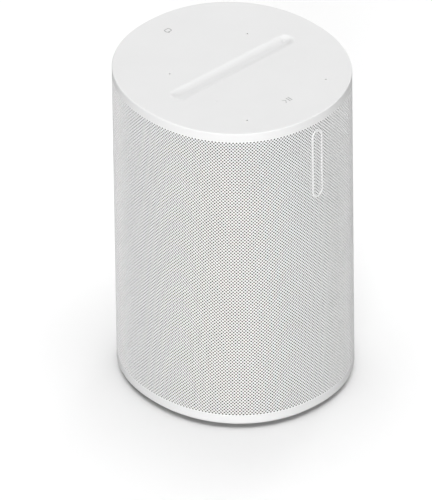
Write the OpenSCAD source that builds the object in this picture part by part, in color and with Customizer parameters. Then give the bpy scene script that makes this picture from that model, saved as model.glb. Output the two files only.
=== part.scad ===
// Compact smart speaker: an oval tower with a perforated sleeve, a touch cap with a
// volume trough, one woofer, two angled tweeters and a rear connection panel.
// +Z is up, the front faces -Y, and the origin is on the floor under the middle of the oval.

/* [Body] */
// Width of the oval body, left to right
body_w = 118.5; // [112:0.5:124]
// Depth of the oval body, front to back
body_d = 125; // [120:0.5:132]
// Height from the floor to the top face
body_h = 183.6; // [180:0.2:192]
// Roundness of the oval: 2 is an ellipse, more is squarer
oval_power = 2.12; // [2:0.02:2.4]
// Height of the base band above the floor
stand_gap = 2.5; // [2:0.1:3.5]
// Height of the smooth band at the bottom
base_band_h = 5.5; // [5:0.1:7]
// Height of the smooth band of the top cap
cap_band_h = 4.6; // [4.4:0.1:6]
// Wall of the perforated sleeve
sleeve_wall = 1.4; // [1.2:0.1:1.8]

/* [Top cap] */
// Length of the volume trough
trough_l = 82.4; // [60:0.2:90]
// Width of the volume trough at the top face
trough_w = 8.4; // [7:0.1:10]
// Depth of the volume trough
trough_depth = 1.8; // [1:0.1:2]
// Radius of each microphone hole
mic_hole_r = 0.45; // [0.3:0.05:0.7]

/* [Woofer] */
// Height of the woofer's axis
woofer_z = 80; // [78:0.5:82]
// Outer radius of the woofer's flange
woofer_r = 47; // [44:0.5:47]
// Outer radius of the moving cone
cone_r = 32; // [30:0.5:33]

/* [Tweeters] */
// Height of the tweeters' axes
tweeter_z = 149; // [147:0.5:150]
// Angle of each tweeter away from straight ahead
tweeter_angle = 40; // [36:1:44]
// Radius of each tweeter's waveguide plate
tweeter_r = 17.5; // [16:0.5:17.5]

/* [Rear panel] */
// Width of the smooth rear panel
panel_w = 32; // [30:0.5:34]
// Height of the power inlet's middle
inlet_z = 34; // [32:0.5:36]
// Height of the line-in port's middle
usb_z = 62; // [60:0.5:66]
// Height of the wireless button's middle
button_z = 82; // [80:0.5:84]
// Height of the microphone switch's middle
mic_switch_z = 99; // [97:0.5:100]
// Travel of the wireless button
button_travel = 0.5; // [0.3:0.05:0.5]
// Travel of the microphone switch
mic_switch_travel = 3.5; // [2:0.1:4]

/* [Hidden] */
$fn = 48;
oval_steps = 96;
over = 0.2;

white = [0.93, 0.93, 0.93];
soft_grey = [0.86, 0.86, 0.86];
dark_plastic = [0.16, 0.16, 0.17];
black_rubber = [0.10, 0.10, 0.10];
board_green = [0.10, 0.32, 0.20];
steel = [0.70, 0.71, 0.73];
brass = [0.78, 0.62, 0.32];
copper = [0.72, 0.45, 0.28];
paper_black = [0.14, 0.14, 0.15];

// Heights of the bands
band_top = stand_gap + base_band_h;
cap_bottom = body_h - cap_band_h;
tray_floor = 2.5;
cap_plate = 3;
edge_round = 2;
edge_inset = 1.5;
lip_gap = 0.1;
lip_wall = 0.9;
lip_h = 1.6;

// Screws: radii of the shank, its pilot hole, its clearance hole, the head and its recess
screw_r = 1.45;
pilot_r = 1.5;
clear_r = 1.7;
head_r = 2.8;
head_recess_r = 3;
head_h = 2.2;
boss_r = 4.2;

// Badge: its middle, heights, width, line and how far it stands out
badge_x = 2;
badge_z = [133, 174.4];
badge_w = 7.6;
badge_line = 1.1;
badge_proud = 0.3;

// Foot
foot_outer = 8;
foot_inner = 24;
foot_sink = 0.6;
base_screw_xy = [[33, -30], [-33, -30], [36, 20], [-36, 20]];

// Stand insert
insert_r = 4.5;
insert_bore_r = 2.6;
insert_len = 6;

// Sealed enclosure
shell_gap = 4;
shell_wall = 2.5;
shell_z0 = 9;
shell_z1 = 172;
plate_t = 3;
split_y = 1;
gasket_t = 1;
rear_y = 30;
shell_screw_x = 43.5;
shell_screw_z = [18, 38, 122, 162];
lead_hole = [38, 100];
lead_hole_r = 2.4;
wire_side = [1, 0.2, 0.15];

// Woofer, with depths measured back from the front face of its flange
woofer_y = -31;
flange_t = 3;
flange_hole_r = 40;
woofer_seat = flange_t + 0.8;
woofer_bolt_r = 43.5;
basket_end = 22;
basket_r = 27;
top_plate_t = 4;
magnet_t = 12;
yoke_t = 4;
pole_r = 9.6;
coil_r = 10.5;
motor_hole_r = 11.9;
motor_y = 25;

// Tweeters, with distances measured out from the body's middle
waveguide_out = 50.2;
waveguide_t = 3.2;
tweeter_hole_r = 13;
tweeter_seat = 46.9;
dome_r = 12;
motor_len = 13;

// Trough as a capsule sunk into the top face
trough_r = (trough_w * trough_w / 4 + trough_depth * trough_depth) / (2 * trough_depth);
trough_half = trough_l / 2 - trough_w / 2;

// Top cap
cap_under = body_h - cap_plate;
cap_boss_xy = [[38, -36], [-38, -36], [38, 36], [-38, 36]];
cap_boss_end = cap_under - 1.8;
mic_xy = [[27.2, 17.7], [-27.2, 17.7], [27.6, -41.4], [-27.6, -41.4]];
light_xy = [38, 1.6];
light_r = 0.8;
touch_inset = 14;
touch_t = 1.2;
touch_gap = 0.5;
touch_top = cap_under - touch_gap;
frame_t = 2.5;
cable_w = 10;
cable_y = 43;

// Boards in the rear bay
board_y = rear_y + 4;
board_t = 1.6;
board_back = board_y + board_t;
main_z = [84, 160];
power_z = [16, 78];
board_x = 38;
standoff_r = 3;
main_screw_xz = [[34, 88], [-34, 88], [34, 156], [-34, 156]];
power_screw_xz = [[34, 74], [-34, 74], [34, 20], [-34, 20]];

// Rear panel
panel_z = [21.8, 116.6];
panel_inset = 0.6;
panel_t = 2;
panel_gap = 0.15;
inlet_face_y = 60.4;
inlet_depth = 11;
inlet_w = 16.9;
inlet_h = 8.3;
inlet_pin_r = 1.18;
inlet_pin_x = 4.3;
inlet_block = [23, 14];
inlet_back_y = 44.5;
io_y = 51.7;
io_back = io_y + board_t;
io_z = [54, 110];
io_screw_xz = [[11, 58], [-11, 58], [11, 106], [-11, 106]];
io_boss_r = 2.6;
usb_w = 8.94;
usb_h = 3.26;
usb_wall = 0.3;
usb_face_y = 60.6;
button_r = 4.2;
button_face_y = 61.4;
switch_slot_w = 4.4;
knob_w = 3.8;
knob_h = 4.4;
knob_face_y = 61.6;

// Points of the oval outline, moved in by an inset
function oval_axis(half, c) = half * sign(c) * pow(abs(c), 2 / oval_power);
function oval_points(inset) = [
    for (i = [0 : oval_steps - 1])
        let (a = 360 * i / oval_steps)
        [oval_axis(body_w / 2 - inset, cos(a)), oval_axis(body_d / 2 - inset, sin(a))]
];

// A flat oval plate between two heights
module oval_plate(inset, z0, z1) {
    translate([0, 0, z0])
        linear_extrude(z1 - z0)
            polygon(oval_points(inset));
}

// An oval ring between two heights
module oval_ring(inset, wall, z0, z1) {
    difference() {
        oval_plate(inset, z0, z1);
        oval_plate(inset + wall, z0 - over, z1 + over);
    }
}

// An oval solid through a list of [height, inset] levels
module oval_loft(levels) {
    n = oval_steps;
    last = len(levels) - 1;
    points = [for (level = levels) for (p = oval_points(level[1])) [p[0], p[1], level[0]]];
    sides = [
        for (k = [0 : last - 1])
            for (i = [0 : n - 1])
                for (half = [0, 1])
                    let (a = k * n + i, b = k * n + (i + 1) % n)
                    half == 0 ? [a, a + n, b] : [b, a + n, b + n]
    ];
    floor_face = [for (i = [0 : n - 1]) i];
    top_face = [for (i = [0 : n - 1]) last * n + n - 1 - i];
    polyhedron(points, concat(sides, [floor_face], [top_face]));
}

// Levels of a rounded edge that goes from an inset to none over a height
function round_levels(z, inset, height, steps) = [
    for (k = [0 : steps])
        let (a = 90 * k / steps)
        [z + height * (1 - cos(a)), inset * (1 - sin(a))]
];

// A cylinder along Y from one depth to another
module y_rod(x, z, r, y0, y1) {
    translate([x, y0, z])
        rotate([-90, 0, 0])
            cylinder(h = y1 - y0, r = r);
}

// A cylinder along Z
module z_rod(x, y, r, z0, z1) {
    translate([x, y, z0])
        cylinder(h = z1 - z0, r = r);
}

// A round-ended slot along Y, wide along X
module y_slot(x, z, w, h, y0, y1) {
    half = (w - h) / 2;
    y_rod(x - half, z, h / 2, y0, y1);
    y_rod(x + half, z, h / 2, y0, y1);
    translate([x - half, y0, z - h / 2])
        cube([w - h, y1 - y0, h]);
}

// A block between two corners
module block(low, high) {
    translate(low)
        cube(high - low);
}

// Things placed on the woofer's axis: local +Z points into the body from the flange's face
module on_woofer() {
    translate([0, woofer_y, woofer_z])
        rotate([-90, 0, 0])
            children();
}

// Things placed on a tweeter's axis: local +Z points out of the body from its middle
module on_tweeter(side) {
    translate([0, 0, tweeter_z])
        rotate([0, 0, side * tweeter_angle])
            rotate([90, 0, 0])
                children();
}

function unit(v) = v / norm(v);

// The direction of a route at its point k
function heading(points, k) =
    let (last = len(points) - 1)
    unit(
        (k < last ? unit(points[k + 1] - points[k]) : [0, 0, 0])
        + (k > 0 ? unit(points[k] - points[k - 1]) : [0, 0, 0])
    );

// The ring of a wire's skin at its point k
function wire_ring(points, k, r, n) =
    let (t = heading(points, k), u = unit(cross(t, wire_side)), v = cross(t, u))
    [for (i = [0 : n - 1]) points[k] + r * (cos(360 * i / n) * u + sin(360 * i / n) * v)];

// A wire swept through a list of points
module wire(points, r) {
    n = 8;
    last = len(points) - 1;
    skin = [for (k = [0 : last]) for (p = wire_ring(points, k, r, n)) p];
    sides = [
        for (k = [0 : last - 1])
            for (i = [0 : n - 1])
                for (half = [0, 1])
                    let (a = k * n + i, b = k * n + (i + 1) % n)
                    half == 0 ? [a, a + n, b] : [b, a + n, b + n]
    ];
    start_face = [for (i = [0 : n - 1]) i];
    end_face = [for (i = [0 : n - 1]) last * n + n - 1 - i];
    polyhedron(skin, concat(sides, [start_face], [end_face]));
}

module base_foot() {
    color(black_rubber)
        oval_ring(foot_outer, foot_inner - foot_outer, 0, stand_gap + foot_sink);
}

module base_tray() {
    inner = sleeve_wall + lip_gap + lip_wall;
    color(white)
        difference() {
            union() {
                difference() {
                    oval_loft(concat(
                        round_levels(stand_gap, edge_inset, edge_round, 5),
                        [[band_top, 0]]
                    ));
                    oval_plate(inner, stand_gap + tray_floor, band_top + over);
                }
                oval_ring(sleeve_wall + lip_gap, lip_wall, band_top - over, band_top + lip_h);
                for (p = base_screw_xy)
                    z_rod(p[0], p[1], boss_r, stand_gap + tray_floor - over, shell_z0);
                z_rod(0, 0, insert_r + 2.5, stand_gap + tray_floor - over, stand_gap + insert_len);
            }
            oval_ring(foot_outer, foot_inner - foot_outer, stand_gap - over, stand_gap + foot_sink);
            for (p = base_screw_xy) {
                z_rod(p[0], p[1], head_recess_r, 0, stand_gap + foot_sink + head_h + 0.3);
                z_rod(p[0], p[1], clear_r, 0, shell_z0 + over);
            }
            z_rod(0, 0, insert_r, 0, stand_gap + insert_len + over);
        }
}

module stand_insert() {
    color(brass)
        difference() {
            z_rod(0, 0, insert_r, stand_gap, stand_gap + insert_len);
            z_rod(0, 0, insert_bore_r, 0, stand_gap + insert_len + over);
        }
}

module base_screws() {
    color(steel)
        for (p = base_screw_xy) {
            head_z = stand_gap + foot_sink + 0.3;
            z_rod(p[0], p[1], head_r, head_z, head_z + head_h);
            z_rod(p[0], p[1], screw_r, head_z + head_h, shell_z0 + plate_t + 7);
        }
}

module panel_opening(gap) {
    block(
        [-panel_w / 2 - gap, 40, panel_z[0] - gap],
        [panel_w / 2 + gap, body_d, panel_z[1] + gap]
    );
}

module grille() {
    color(soft_grey)
        difference() {
            oval_ring(0, sleeve_wall, band_top, cap_bottom);
            panel_opening(panel_gap);
        }
}

// A pill across X and Z, standing along Y
module badge_pill(inset) {
    r = badge_w / 2 - inset;
    low = badge_z[0] + badge_w / 2;
    high = badge_z[1] - badge_w / 2;
    for (z = [low, high])
        y_rod(badge_x, z, r, -body_d, 0);
    block([badge_x - r, -body_d, low], [badge_x + r, 0, high]);
}

// A plain raised oblong ring on the front of the sleeve
module front_badge() {
    color(white)
        intersection() {
            oval_ring(-badge_proud, badge_proud, badge_z[0], badge_z[1]);
            difference() {
                badge_pill(0);
                badge_pill(badge_line);
            }
        }
}

// The capsule that cuts the volume trough
module trough_cut() {
    hull()
        for (s = [-1, 1])
            translate([s * trough_half, 0, body_h - trough_depth + trough_r])
                sphere(r = trough_r);
}

module top_cap() {
    rim = 0.7;
    color(white)
        difference() {
            union() {
                oval_loft([
                    [cap_bottom, 0],
                    [body_h - rim, 0],
                    [body_h - 0.3 * rim, 0.3 * rim],
                    [body_h, rim]
                ]);
                oval_ring(sleeve_wall + lip_gap, lip_wall, cap_bottom - lip_h, cap_bottom + over);
            }
            difference() {
                oval_plate(sleeve_wall + lip_gap + lip_wall, cap_bottom - lip_h - over, cap_under);
                for (p = cap_boss_xy)
                    z_rod(p[0], p[1], boss_r, cap_boss_end, cap_under);
            }
            trough_cut();
            for (p = mic_xy)
                z_rod(p[0], p[1], mic_hole_r, cap_under - over, body_h + over);
            z_rod(light_xy[0], light_xy[1], light_r, cap_under - over, body_h + over);
            for (p = cap_boss_xy)
                z_rod(p[0], p[1], pilot_r, cap_boss_end - over, body_h - 1.6);
        }
}

module touch_board() {
    color(board_green)
        difference() {
            oval_plate(touch_inset, touch_top - touch_t, touch_top);
            for (p = mic_xy)
                z_rod(p[0], p[1], mic_hole_r, touch_top - touch_t - over, touch_top + over);
        }
}

module mic_gaskets() {
    color(black_rubber)
        for (p = mic_xy)
            difference() {
                z_rod(p[0], p[1], 2, touch_top, cap_under);
                z_rod(p[0], p[1], 1, touch_top - over, cap_under + over);
            }
}

module mic_modules() {
    mic = [3.5, 2.65, 1];
    color(steel)
        for (p = mic_xy)
            translate([p[0] - mic[0] / 2, p[1] - mic[1] / 2, touch_top - touch_t - mic[2]])
                cube(mic);
}

module status_light_pipe() {
    gap = 0.05;
    color([0.95, 0.97, 0.98])
        difference() {
            z_rod(light_xy[0], light_xy[1], light_r - gap, touch_top + 0.45, body_h);
            trough_cut();
        }
}

module status_led() {
    led = [1.2, 0.8, 0.4];
    color([0.95, 0.95, 0.85])
        translate([light_xy[0] - led[0] / 2, light_xy[1] - led[1] / 2, touch_top])
            cube(led);
}

module top_frame() {
    z0 = shell_z1;
    z1 = shell_z1 + frame_t;
    clip_t = 1.5;
    clip_w = 9;
    clip_z = 163;
    barb = 0.8;
    side_x = body_w / 2 - shell_gap + 0.15;
    front_y = body_d / 2 - shell_gap + 0.15;
    color(dark_plastic)
        difference() {
            union() {
                oval_ring(6, 18, z0, z1);
                block([-40, -4, z0], [40, 4, z1]);
                block([-30, 24, z0], [30, 50, z1]);
                for (p = cap_boss_xy)
                    z_rod(p[0], p[1], boss_r, z0, cap_boss_end);
                for (s = [-1, 1]) {
                    block(
                        [min(s * (side_x - 6), s * (side_x + clip_t)), -clip_w / 2, z0],
                        [max(s * (side_x - 6), s * (side_x + clip_t)), clip_w / 2, z1]
                    );
                    block(
                        [min(s * side_x, s * (side_x + clip_t)), -clip_w / 2, clip_z],
                        [max(s * side_x, s * (side_x + clip_t)), clip_w / 2, z1]
                    );
                    block(
                        [min(s * (side_x - barb), s * side_x), -clip_w / 2, clip_z],
                        [max(s * (side_x - barb), s * side_x), clip_w / 2, clip_z + 1.5]
                    );
                }
                block([-clip_w / 2, -front_y - clip_t, z0], [clip_w / 2, -front_y + 6, z1]);
                block([-clip_w / 2, -front_y - clip_t, clip_z], [clip_w / 2, -front_y, z1]);
                block([-clip_w / 2, -front_y, clip_z], [clip_w / 2, -front_y + barb, clip_z + 1.5]);
            }
            block(
                [-cable_w / 2 - 1.5, cable_y - 1.5, z0 - over],
                [cable_w / 2 + 1.5, cable_y + 2, z1 + over]
            );
            for (p = cap_boss_xy) {
                z_rod(p[0], p[1], head_recess_r, z0 - over, z0 + head_h + 0.1);
                z_rod(p[0], p[1], clear_r, z0, cap_boss_end + over);
            }
        }
}

module top_screws() {
    head_z = shell_z1 + 0.1;
    color(steel)
        for (p = cap_boss_xy) {
            z_rod(p[0], p[1], head_r, head_z, head_z + head_h);
            z_rod(p[0], p[1], screw_r, head_z + head_h, body_h - 1.8);
        }
}

module touch_flat_cable() {
    t = 0.3;
    z_low = 150;
    color([0.85, 0.62, 0.25]) {
        block([-cable_w / 2, cable_y, z_low], [cable_w / 2, cable_y + t, touch_top - touch_t]);
        block([-cable_w / 2, board_back, z_low - t], [cable_w / 2, cable_y + t, z_low]);
    }
}

// The whole outer form of the sealed enclosure, before it is split
module enclosure_form() {
    difference() {
        union() {
            difference() {
                oval_plate(shell_gap, shell_z0, shell_z1);
                oval_plate(shell_gap + shell_wall, shell_z0 + plate_t, shell_z1 - plate_t);
                block([-body_w, rear_y, 0], [body_w, body_d, body_h]);
            }
            intersection() {
                oval_plate(shell_gap, shell_z0, shell_z1);
                union() {
                    block([-body_w, rear_y - plate_t, 0], [body_w, rear_y, body_h]);
                    y_rod(0, woofer_z, woofer_r + 2.8, -body_d, woofer_y + woofer_seat + 3.5);
                    for (s = [-1, 1])
                        on_tweeter(s)
                            z_rod(0, 0, tweeter_r + 2.5, tweeter_seat - 3.4, body_d);
                    for (p = base_screw_xy)
                        z_rod(p[0], p[1], boss_r, shell_z0, shell_z0 + plate_t + 8);
                    for (s = [-1, 1])
                        for (z = shell_screw_z)
                            y_rod(s * shell_screw_x, z, boss_r, split_y - 16, rear_y);
                    for (p = concat(main_screw_xz, power_screw_xz))
                        y_rod(p[0], p[1], standoff_r + 0.5, rear_y - plate_t - 3, rear_y);
                }
            }
        }
        y_rod(0, woofer_z, woofer_r + 0.3, -body_d, woofer_y + woofer_seat);
        y_rod(0, woofer_z, flange_hole_r + 0.5, -body_d, woofer_y + woofer_seat + 4);
        for (s = [-1, 1])
            on_tweeter(s) {
                z_rod(0, 0, tweeter_r + 0.3, tweeter_seat, body_d);
                z_rod(0, 0, tweeter_hole_r, tweeter_seat - 5, body_d);
                for (a = [90, 210, 330])
                    rotate([0, 0, a])
                        z_rod(tweeter_r - 2.2, 0, pilot_r - 0.5, tweeter_seat - 2.8, body_d);
            }
        on_woofer()
            for (a = [45 : 90 : 315])
                rotate([0, 0, a])
                    z_rod(woofer_bolt_r, 0, pilot_r, -over, woofer_seat + 3);
        for (p = base_screw_xy)
            z_rod(p[0], p[1], pilot_r, 0, shell_z0 + plate_t + 7.2);
        for (s = [-1, 1])
            for (z = shell_screw_z) {
                y_rod(s * shell_screw_x, z, pilot_r, split_y - 14, split_y + over);
                y_rod(s * shell_screw_x, z, clear_r, split_y, rear_y + over);
                y_rod(s * shell_screw_x, z, head_recess_r, split_y + 8, rear_y + over);
            }
        for (p = concat(main_screw_xz, power_screw_xz))
            y_rod(p[0], p[1], pilot_r - 0.3, rear_y - plate_t - 2, rear_y + over);
        y_rod(lead_hole[0], lead_hole[1], lead_hole_r, rear_y - plate_t - 4, rear_y + over);
        for (s = [-1, 1])
            translate([s * (body_w / 2 - shell_gap), 0, 164])
                cube([2.4, 10, 3], center = true);
        translate([0, -(body_d / 2 - shell_gap), 164])
            cube([10, 2.4, 3], center = true);
    }
}

module enclosure_front() {
    color(dark_plastic)
        intersection() {
            enclosure_form();
            block([-body_w, -body_d, 0], [body_w, split_y, body_h]);
        }
}

module enclosure_rear() {
    color(dark_plastic) {
        intersection() {
            enclosure_form();
            block([-body_w, split_y + gasket_t, 0], [body_w, body_d, body_h]);
        }
    }
}

module enclosure_gasket() {
    color(black_rubber)
        intersection() {
            enclosure_form();
            block([-body_w, split_y, 0], [body_w, split_y + gasket_t, body_h]);
        }
}

module enclosure_screws() {
    color(steel)
        for (s = [-1, 1])
            for (z = shell_screw_z) {
                y_rod(s * shell_screw_x, z, screw_r, split_y - 12, split_y + 8);
                y_rod(s * shell_screw_x, z, head_r, split_y + 8, split_y + 8 + head_h);
            }
}

// The basket: a flange ring, a sloping basket with six windows, and a rear ring
module woofer_frame() {
    window_r = 6;
    color([0.20, 0.20, 0.21])
        on_woofer()
            difference() {
                rotate_extrude()
                    polygon([
                        [flange_hole_r, 0], [woofer_r, 0], [woofer_r, flange_t],
                        [flange_hole_r + 0.3, flange_t], [basket_r + 1.5, basket_end],
                        [basket_r + 1.5, motor_y], [motor_hole_r + 4, motor_y],
                        [motor_hole_r + 4, motor_y - 2], [basket_r - 0.5, motor_y - 2],
                        [basket_r - 0.5, basket_end], [flange_hole_r - 2, flange_t + 0.6],
                        [flange_hole_r, flange_t - 1.4]
                    ]);
                for (a = [0 : 60 : 300])
                    rotate([0, 0, a])
                        translate([0, 0, 13])
                            rotate([0, 90, 0])
                                cylinder(h = woofer_r, r = window_r);
                for (a = [45 : 90 : 315])
                    rotate([0, 0, a])
                        z_rod(woofer_bolt_r, 0, clear_r, -over, flange_t + over);
            }
}

module woofer_gasket() {
    color(black_rubber)
        on_woofer()
            difference() {
                z_rod(0, 0, woofer_r, flange_t, woofer_seat);
                z_rod(0, 0, flange_hole_r + 0.5, flange_t - over, woofer_seat + over);
                for (a = [45 : 90 : 315])
                    rotate([0, 0, a])
                        z_rod(woofer_bolt_r, 0, clear_r, flange_t - over, woofer_seat + over);
            }
}

module woofer_screws() {
    color(steel)
        on_woofer()
            for (a = [45 : 90 : 315])
                rotate([0, 0, a]) {
                    z_rod(woofer_bolt_r, 0, head_r, -head_h + 0.4, 0);
                    z_rod(woofer_bolt_r, 0, screw_r, 0, woofer_seat + 2.8);
                }
}

// A half-roll ring of rubber between the cone and the flange
module woofer_surround() {
    mid = (cone_r + flange_hole_r) / 2;
    roll = (flange_hole_r - cone_r) / 2;
    t = 0.8;
    color(black_rubber)
        on_woofer()
            rotate_extrude()
                difference() {
                    translate([mid, 1.5])
                        circle(r = roll);
                    translate([mid, 1.5])
                        circle(r = roll - t);
                    translate([0, 1.5])
                        square([woofer_r, woofer_r]);
                }
}

// The cone's wall, from the surround down to the voice coil
module woofer_cone() {
    t = 0.8;
    deep = 14;
    color(paper_black)
        on_woofer()
            rotate_extrude()
                polygon([
                    [cone_r, 1.5], [cone_r, 1.5 + t], [coil_r + 0.45, deep + t],
                    [coil_r + 0.45, deep]
                ]);
}

module woofer_dust_cap() {
    ball_r = 18;
    cap_r = 13;
    t = 0.6;
    cone_at_cap = 14 - (cap_r - coil_r - 0.4) * 12.5 / (cone_r - coil_r - 0.4);
    center_z = cone_at_cap - 0.4 + sqrt(ball_r * ball_r - cap_r * cap_r);
    color(paper_black)
        on_woofer()
            translate([0, 0, center_z])
                difference() {
                    sphere(r = ball_r);
                    sphere(r = ball_r - t);
                    z_rod(0, 0, 2 * ball_r, -sqrt(ball_r * ball_r - cap_r * cap_r), 2 * ball_r);
                }
}

module woofer_voice_coil() {
    color(copper)
        on_woofer()
            difference() {
                union() {
                    z_rod(0, 0, coil_r + 0.4, 12.5, 33);
                    z_rod(0, 0, coil_r + 0.8, motor_y + 0.5, 33);
                }
                z_rod(0, 0, coil_r, 12.5 - over, 33 + over);
            }
}

// The spider: a flat corrugated ring that centres the voice coil
module woofer_spider() {
    waves = 3;
    inner = coil_r + 0.45;
    outer = basket_r - 0.7;
    step = (outer - inner) / (2 * waves);
    t = 0.5;
    color([0.80, 0.66, 0.36])
        on_woofer()
            translate([0, 0, 20.5])
                rotate_extrude()
                    polygon(concat(
                        [for (k = [0 : 2 * waves]) [inner + k * step, (k % 2) * 0.8]],
                        [for (k = [2 * waves : -1 : 0]) [inner + k * step, (k % 2) * 0.8 + t]]
                    ));
}

module woofer_top_plate() {
    color(steel)
        on_woofer()
            difference() {
                z_rod(0, 0, basket_r, motor_y, motor_y + top_plate_t);
                z_rod(0, 0, motor_hole_r, motor_y - over, motor_y + top_plate_t + over);
            }
}

module woofer_magnet() {
    z0 = motor_y + top_plate_t;
    color([0.24, 0.24, 0.25])
        on_woofer()
            difference() {
                z_rod(0, 0, basket_r - 0.5, z0, z0 + magnet_t);
                z_rod(0, 0, motor_hole_r + 2, z0 - over, z0 + magnet_t + over);
            }
}

module woofer_yoke() {
    z1 = motor_y + top_plate_t + magnet_t;
    color(steel)
        on_woofer()
            difference() {
                union() {
                    z_rod(0, 0, basket_r - 1, z1, z1 + yoke_t);
                    z_rod(0, 0, pole_r, motor_y, z1 + over);
                }
                z_rod(0, 0, 3.5, motor_y - over, z1 + yoke_t + over);
            }
}

module tweeter_waveguide(side) {
    color(dark_plastic)
        on_tweeter(side)
            difference() {
                z_rod(0, 0, tweeter_r, tweeter_seat, waveguide_out);
                translate([0, 0, tweeter_seat - over])
                    cylinder(h = over + 1, r = tweeter_hole_r + 0.2);
                translate([0, 0, tweeter_seat + 0.8])
                    cylinder(h = waveguide_t, r1 = tweeter_hole_r - 0.2, r2 = tweeter_hole_r + 1.5);
                for (a = [90, 210, 330])
                    rotate([0, 0, a])
                        z_rod(tweeter_r - 2.2, 0, 1.2, tweeter_seat - over, waveguide_out + over);
            }
}

module tweeter_surround(side) {
    color(black_rubber)
        on_tweeter(side)
            difference() {
                z_rod(0, 0, tweeter_hole_r, tweeter_seat - 0.5, tweeter_seat);
                z_rod(0, 0, dome_r + 0.05, tweeter_seat - 1, tweeter_seat + over);
            }
}

// A thin silk dome with its short coil ring
module tweeter_dome(side) {
    dome_h = 3.4;
    ball_r = (dome_r * dome_r + dome_h * dome_h) / (2 * dome_h);
    t = 0.4;
    color([0.30, 0.30, 0.32])
        on_tweeter(side) {
            translate([0, 0, tweeter_seat + dome_h - ball_r])
                difference() {
                    sphere(r = ball_r);
                    sphere(r = ball_r - t);
                    z_rod(0, 0, 2 * ball_r, -2 * ball_r, ball_r - dome_h);
                }
            difference() {
                z_rod(0, 0, dome_r, tweeter_seat - 2.5, tweeter_seat);
                z_rod(0, 0, dome_r - 0.4, tweeter_seat - 2.5 - over, tweeter_seat + over);
            }
        }
}

// The tweeter's cup and magnet, with a ring gap for the dome's coil
module tweeter_motor(side) {
    front = tweeter_seat - 0.5;
    color([0.35, 0.35, 0.37])
        on_tweeter(side)
            difference() {
                z_rod(0, 0, tweeter_hole_r - 0.1, front - motor_len, front);
                difference() {
                    z_rod(0, 0, dome_r + 0.3, front - 4, front + over);
                    z_rod(0, 0, dome_r - 0.8, front - 4, front - 0.5);
                }
            }
}

module tweeter_screws() {
    color(steel)
        for (s = [-1, 1])
            on_tweeter(s)
                for (a = [90, 210, 330])
                    rotate([0, 0, a]) {
                        z_rod(tweeter_r - 2.2, 0, 0.95, tweeter_seat - 2.6, waveguide_out);
                        z_rod(tweeter_r - 2.2, 0, 1.9, waveguide_out, waveguide_out + 0.9);
                    }
}

// Leads from the main board through the rear wall to the three drivers
module speaker_leads() {
    r = 0.7;
    hx = lead_hole[0];
    hz = lead_hole[1];
    back = tweeter_seat - 0.5 - motor_len;
    run_in = back - 5;
    out = [sin(tweeter_angle), -cos(tweeter_angle)];
    ring_r = basket_r + 0.8;
    ring = [ring_r * cos(20), woofer_z + ring_r * sin(20)];
    color(copper) {
        wire([
            [hx, board_y, hz - 1.3], [hx, 22, hz - 1.3], [30, 8, woofer_z + 12],
            [ring[0], 0, ring[1]], [ring[0], woofer_y + motor_y, ring[1]]
        ], r);
        wire([
            [hx + 1.3, board_y, hz + 0.8], [hx + 1.3, 24, hz + 0.8], [30, 8, tweeter_z - 6],
            [run_in * out[0], run_in * out[1], tweeter_z], [back * out[0], back * out[1], tweeter_z]
        ], r);
        wire([
            [hx - 1.3, board_y, hz + 0.3], [hx - 1.3, 24, hz + 0.3], [4, 20, tweeter_z - 16],
            [-18, 2, tweeter_z - 3],
            [-run_in * out[0], run_in * out[1], tweeter_z], [-back * out[0], back * out[1], tweeter_z]
        ], r);
    }
}

// A board held on standoffs of the rear wall
module wall_board(z, screws) {
    block([-board_x, board_y, z[0]], [board_x, board_back, z[1]]);
    for (p = screws)
        y_rod(p[0], p[1], standoff_r, rear_y, board_y);
}

module main_board() {
    color(board_green)
        difference() {
            wall_board(main_z, main_screw_xz);
            for (p = main_screw_xz)
                y_rod(p[0], p[1], clear_r, rear_y - over, board_back + over);
        }
}

module main_shield_can() {
    t = 0.4;
    low = [-30, board_back, 106];
    high = [6, board_back + 4.5, 148];
    color(steel)
        difference() {
            block(low, high);
            block(low + [t, -over, t], high - [t, t, t]);
        }
}

module amplifier_heat_sink() {
    fins = 7;
    low = [13, board_back, 96];
    size = [24, 9, 44];
    base_t = 2.5;
    fin_t = 1.2;
    pitch = (size[0] - fin_t) / (fins - 1);
    color([0.75, 0.76, 0.78]) {
        block(low, low + [size[0], base_t, size[2]]);
        for (i = [0 : fins - 1])
            translate(low + [i * pitch, 0, 0])
                cube([fin_t, size[1], size[2]]);
    }
}

module radio_antennas() {
    color([0.72, 0.60, 0.30])
        for (s = [-1, 1])
            translate([s * 43.8, rear_y + 0.5, 140])
                cube([5.6, 1, 36], center = true);
}

module power_board() {
    color(board_green)
        difference() {
            wall_board(power_z, power_screw_xz);
            for (p = power_screw_xz)
                y_rod(p[0], p[1], clear_r, rear_y - over, board_back + over);
        }
}

module power_transformer() {
    core = [[-35, 48], [-15, 68]];
    color([0.85, 0.75, 0.30]) {
        block([core[0][0], board_back, core[0][1] + 4], [core[1][0], board_back + 11, core[1][1] - 4]);
        block([core[0][0] + 3, board_back, core[0][1]], [core[1][0] - 3, board_back + 11, core[1][1]]);
    }
}

module power_capacitor() {
    r = 8;
    color([0.20, 0.22, 0.35])
        translate([25, board_back + r, 24])
            cylinder(h = 26, r = r);
}

// Two short conductors from the inlet's tails to the power board
module power_lead() {
    r = 1;
    color([0.25, 0.25, 0.28])
        for (s = [-1, 1])
            wire([
                [s * inlet_pin_x, inlet_back_y, inlet_z], [s * inlet_pin_x, inlet_back_y - 4, inlet_z],
                [s * inlet_pin_x, board_back + 2, inlet_z - 8], [s * inlet_pin_x, board_back, inlet_z - 8]
            ], r);
}

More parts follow.
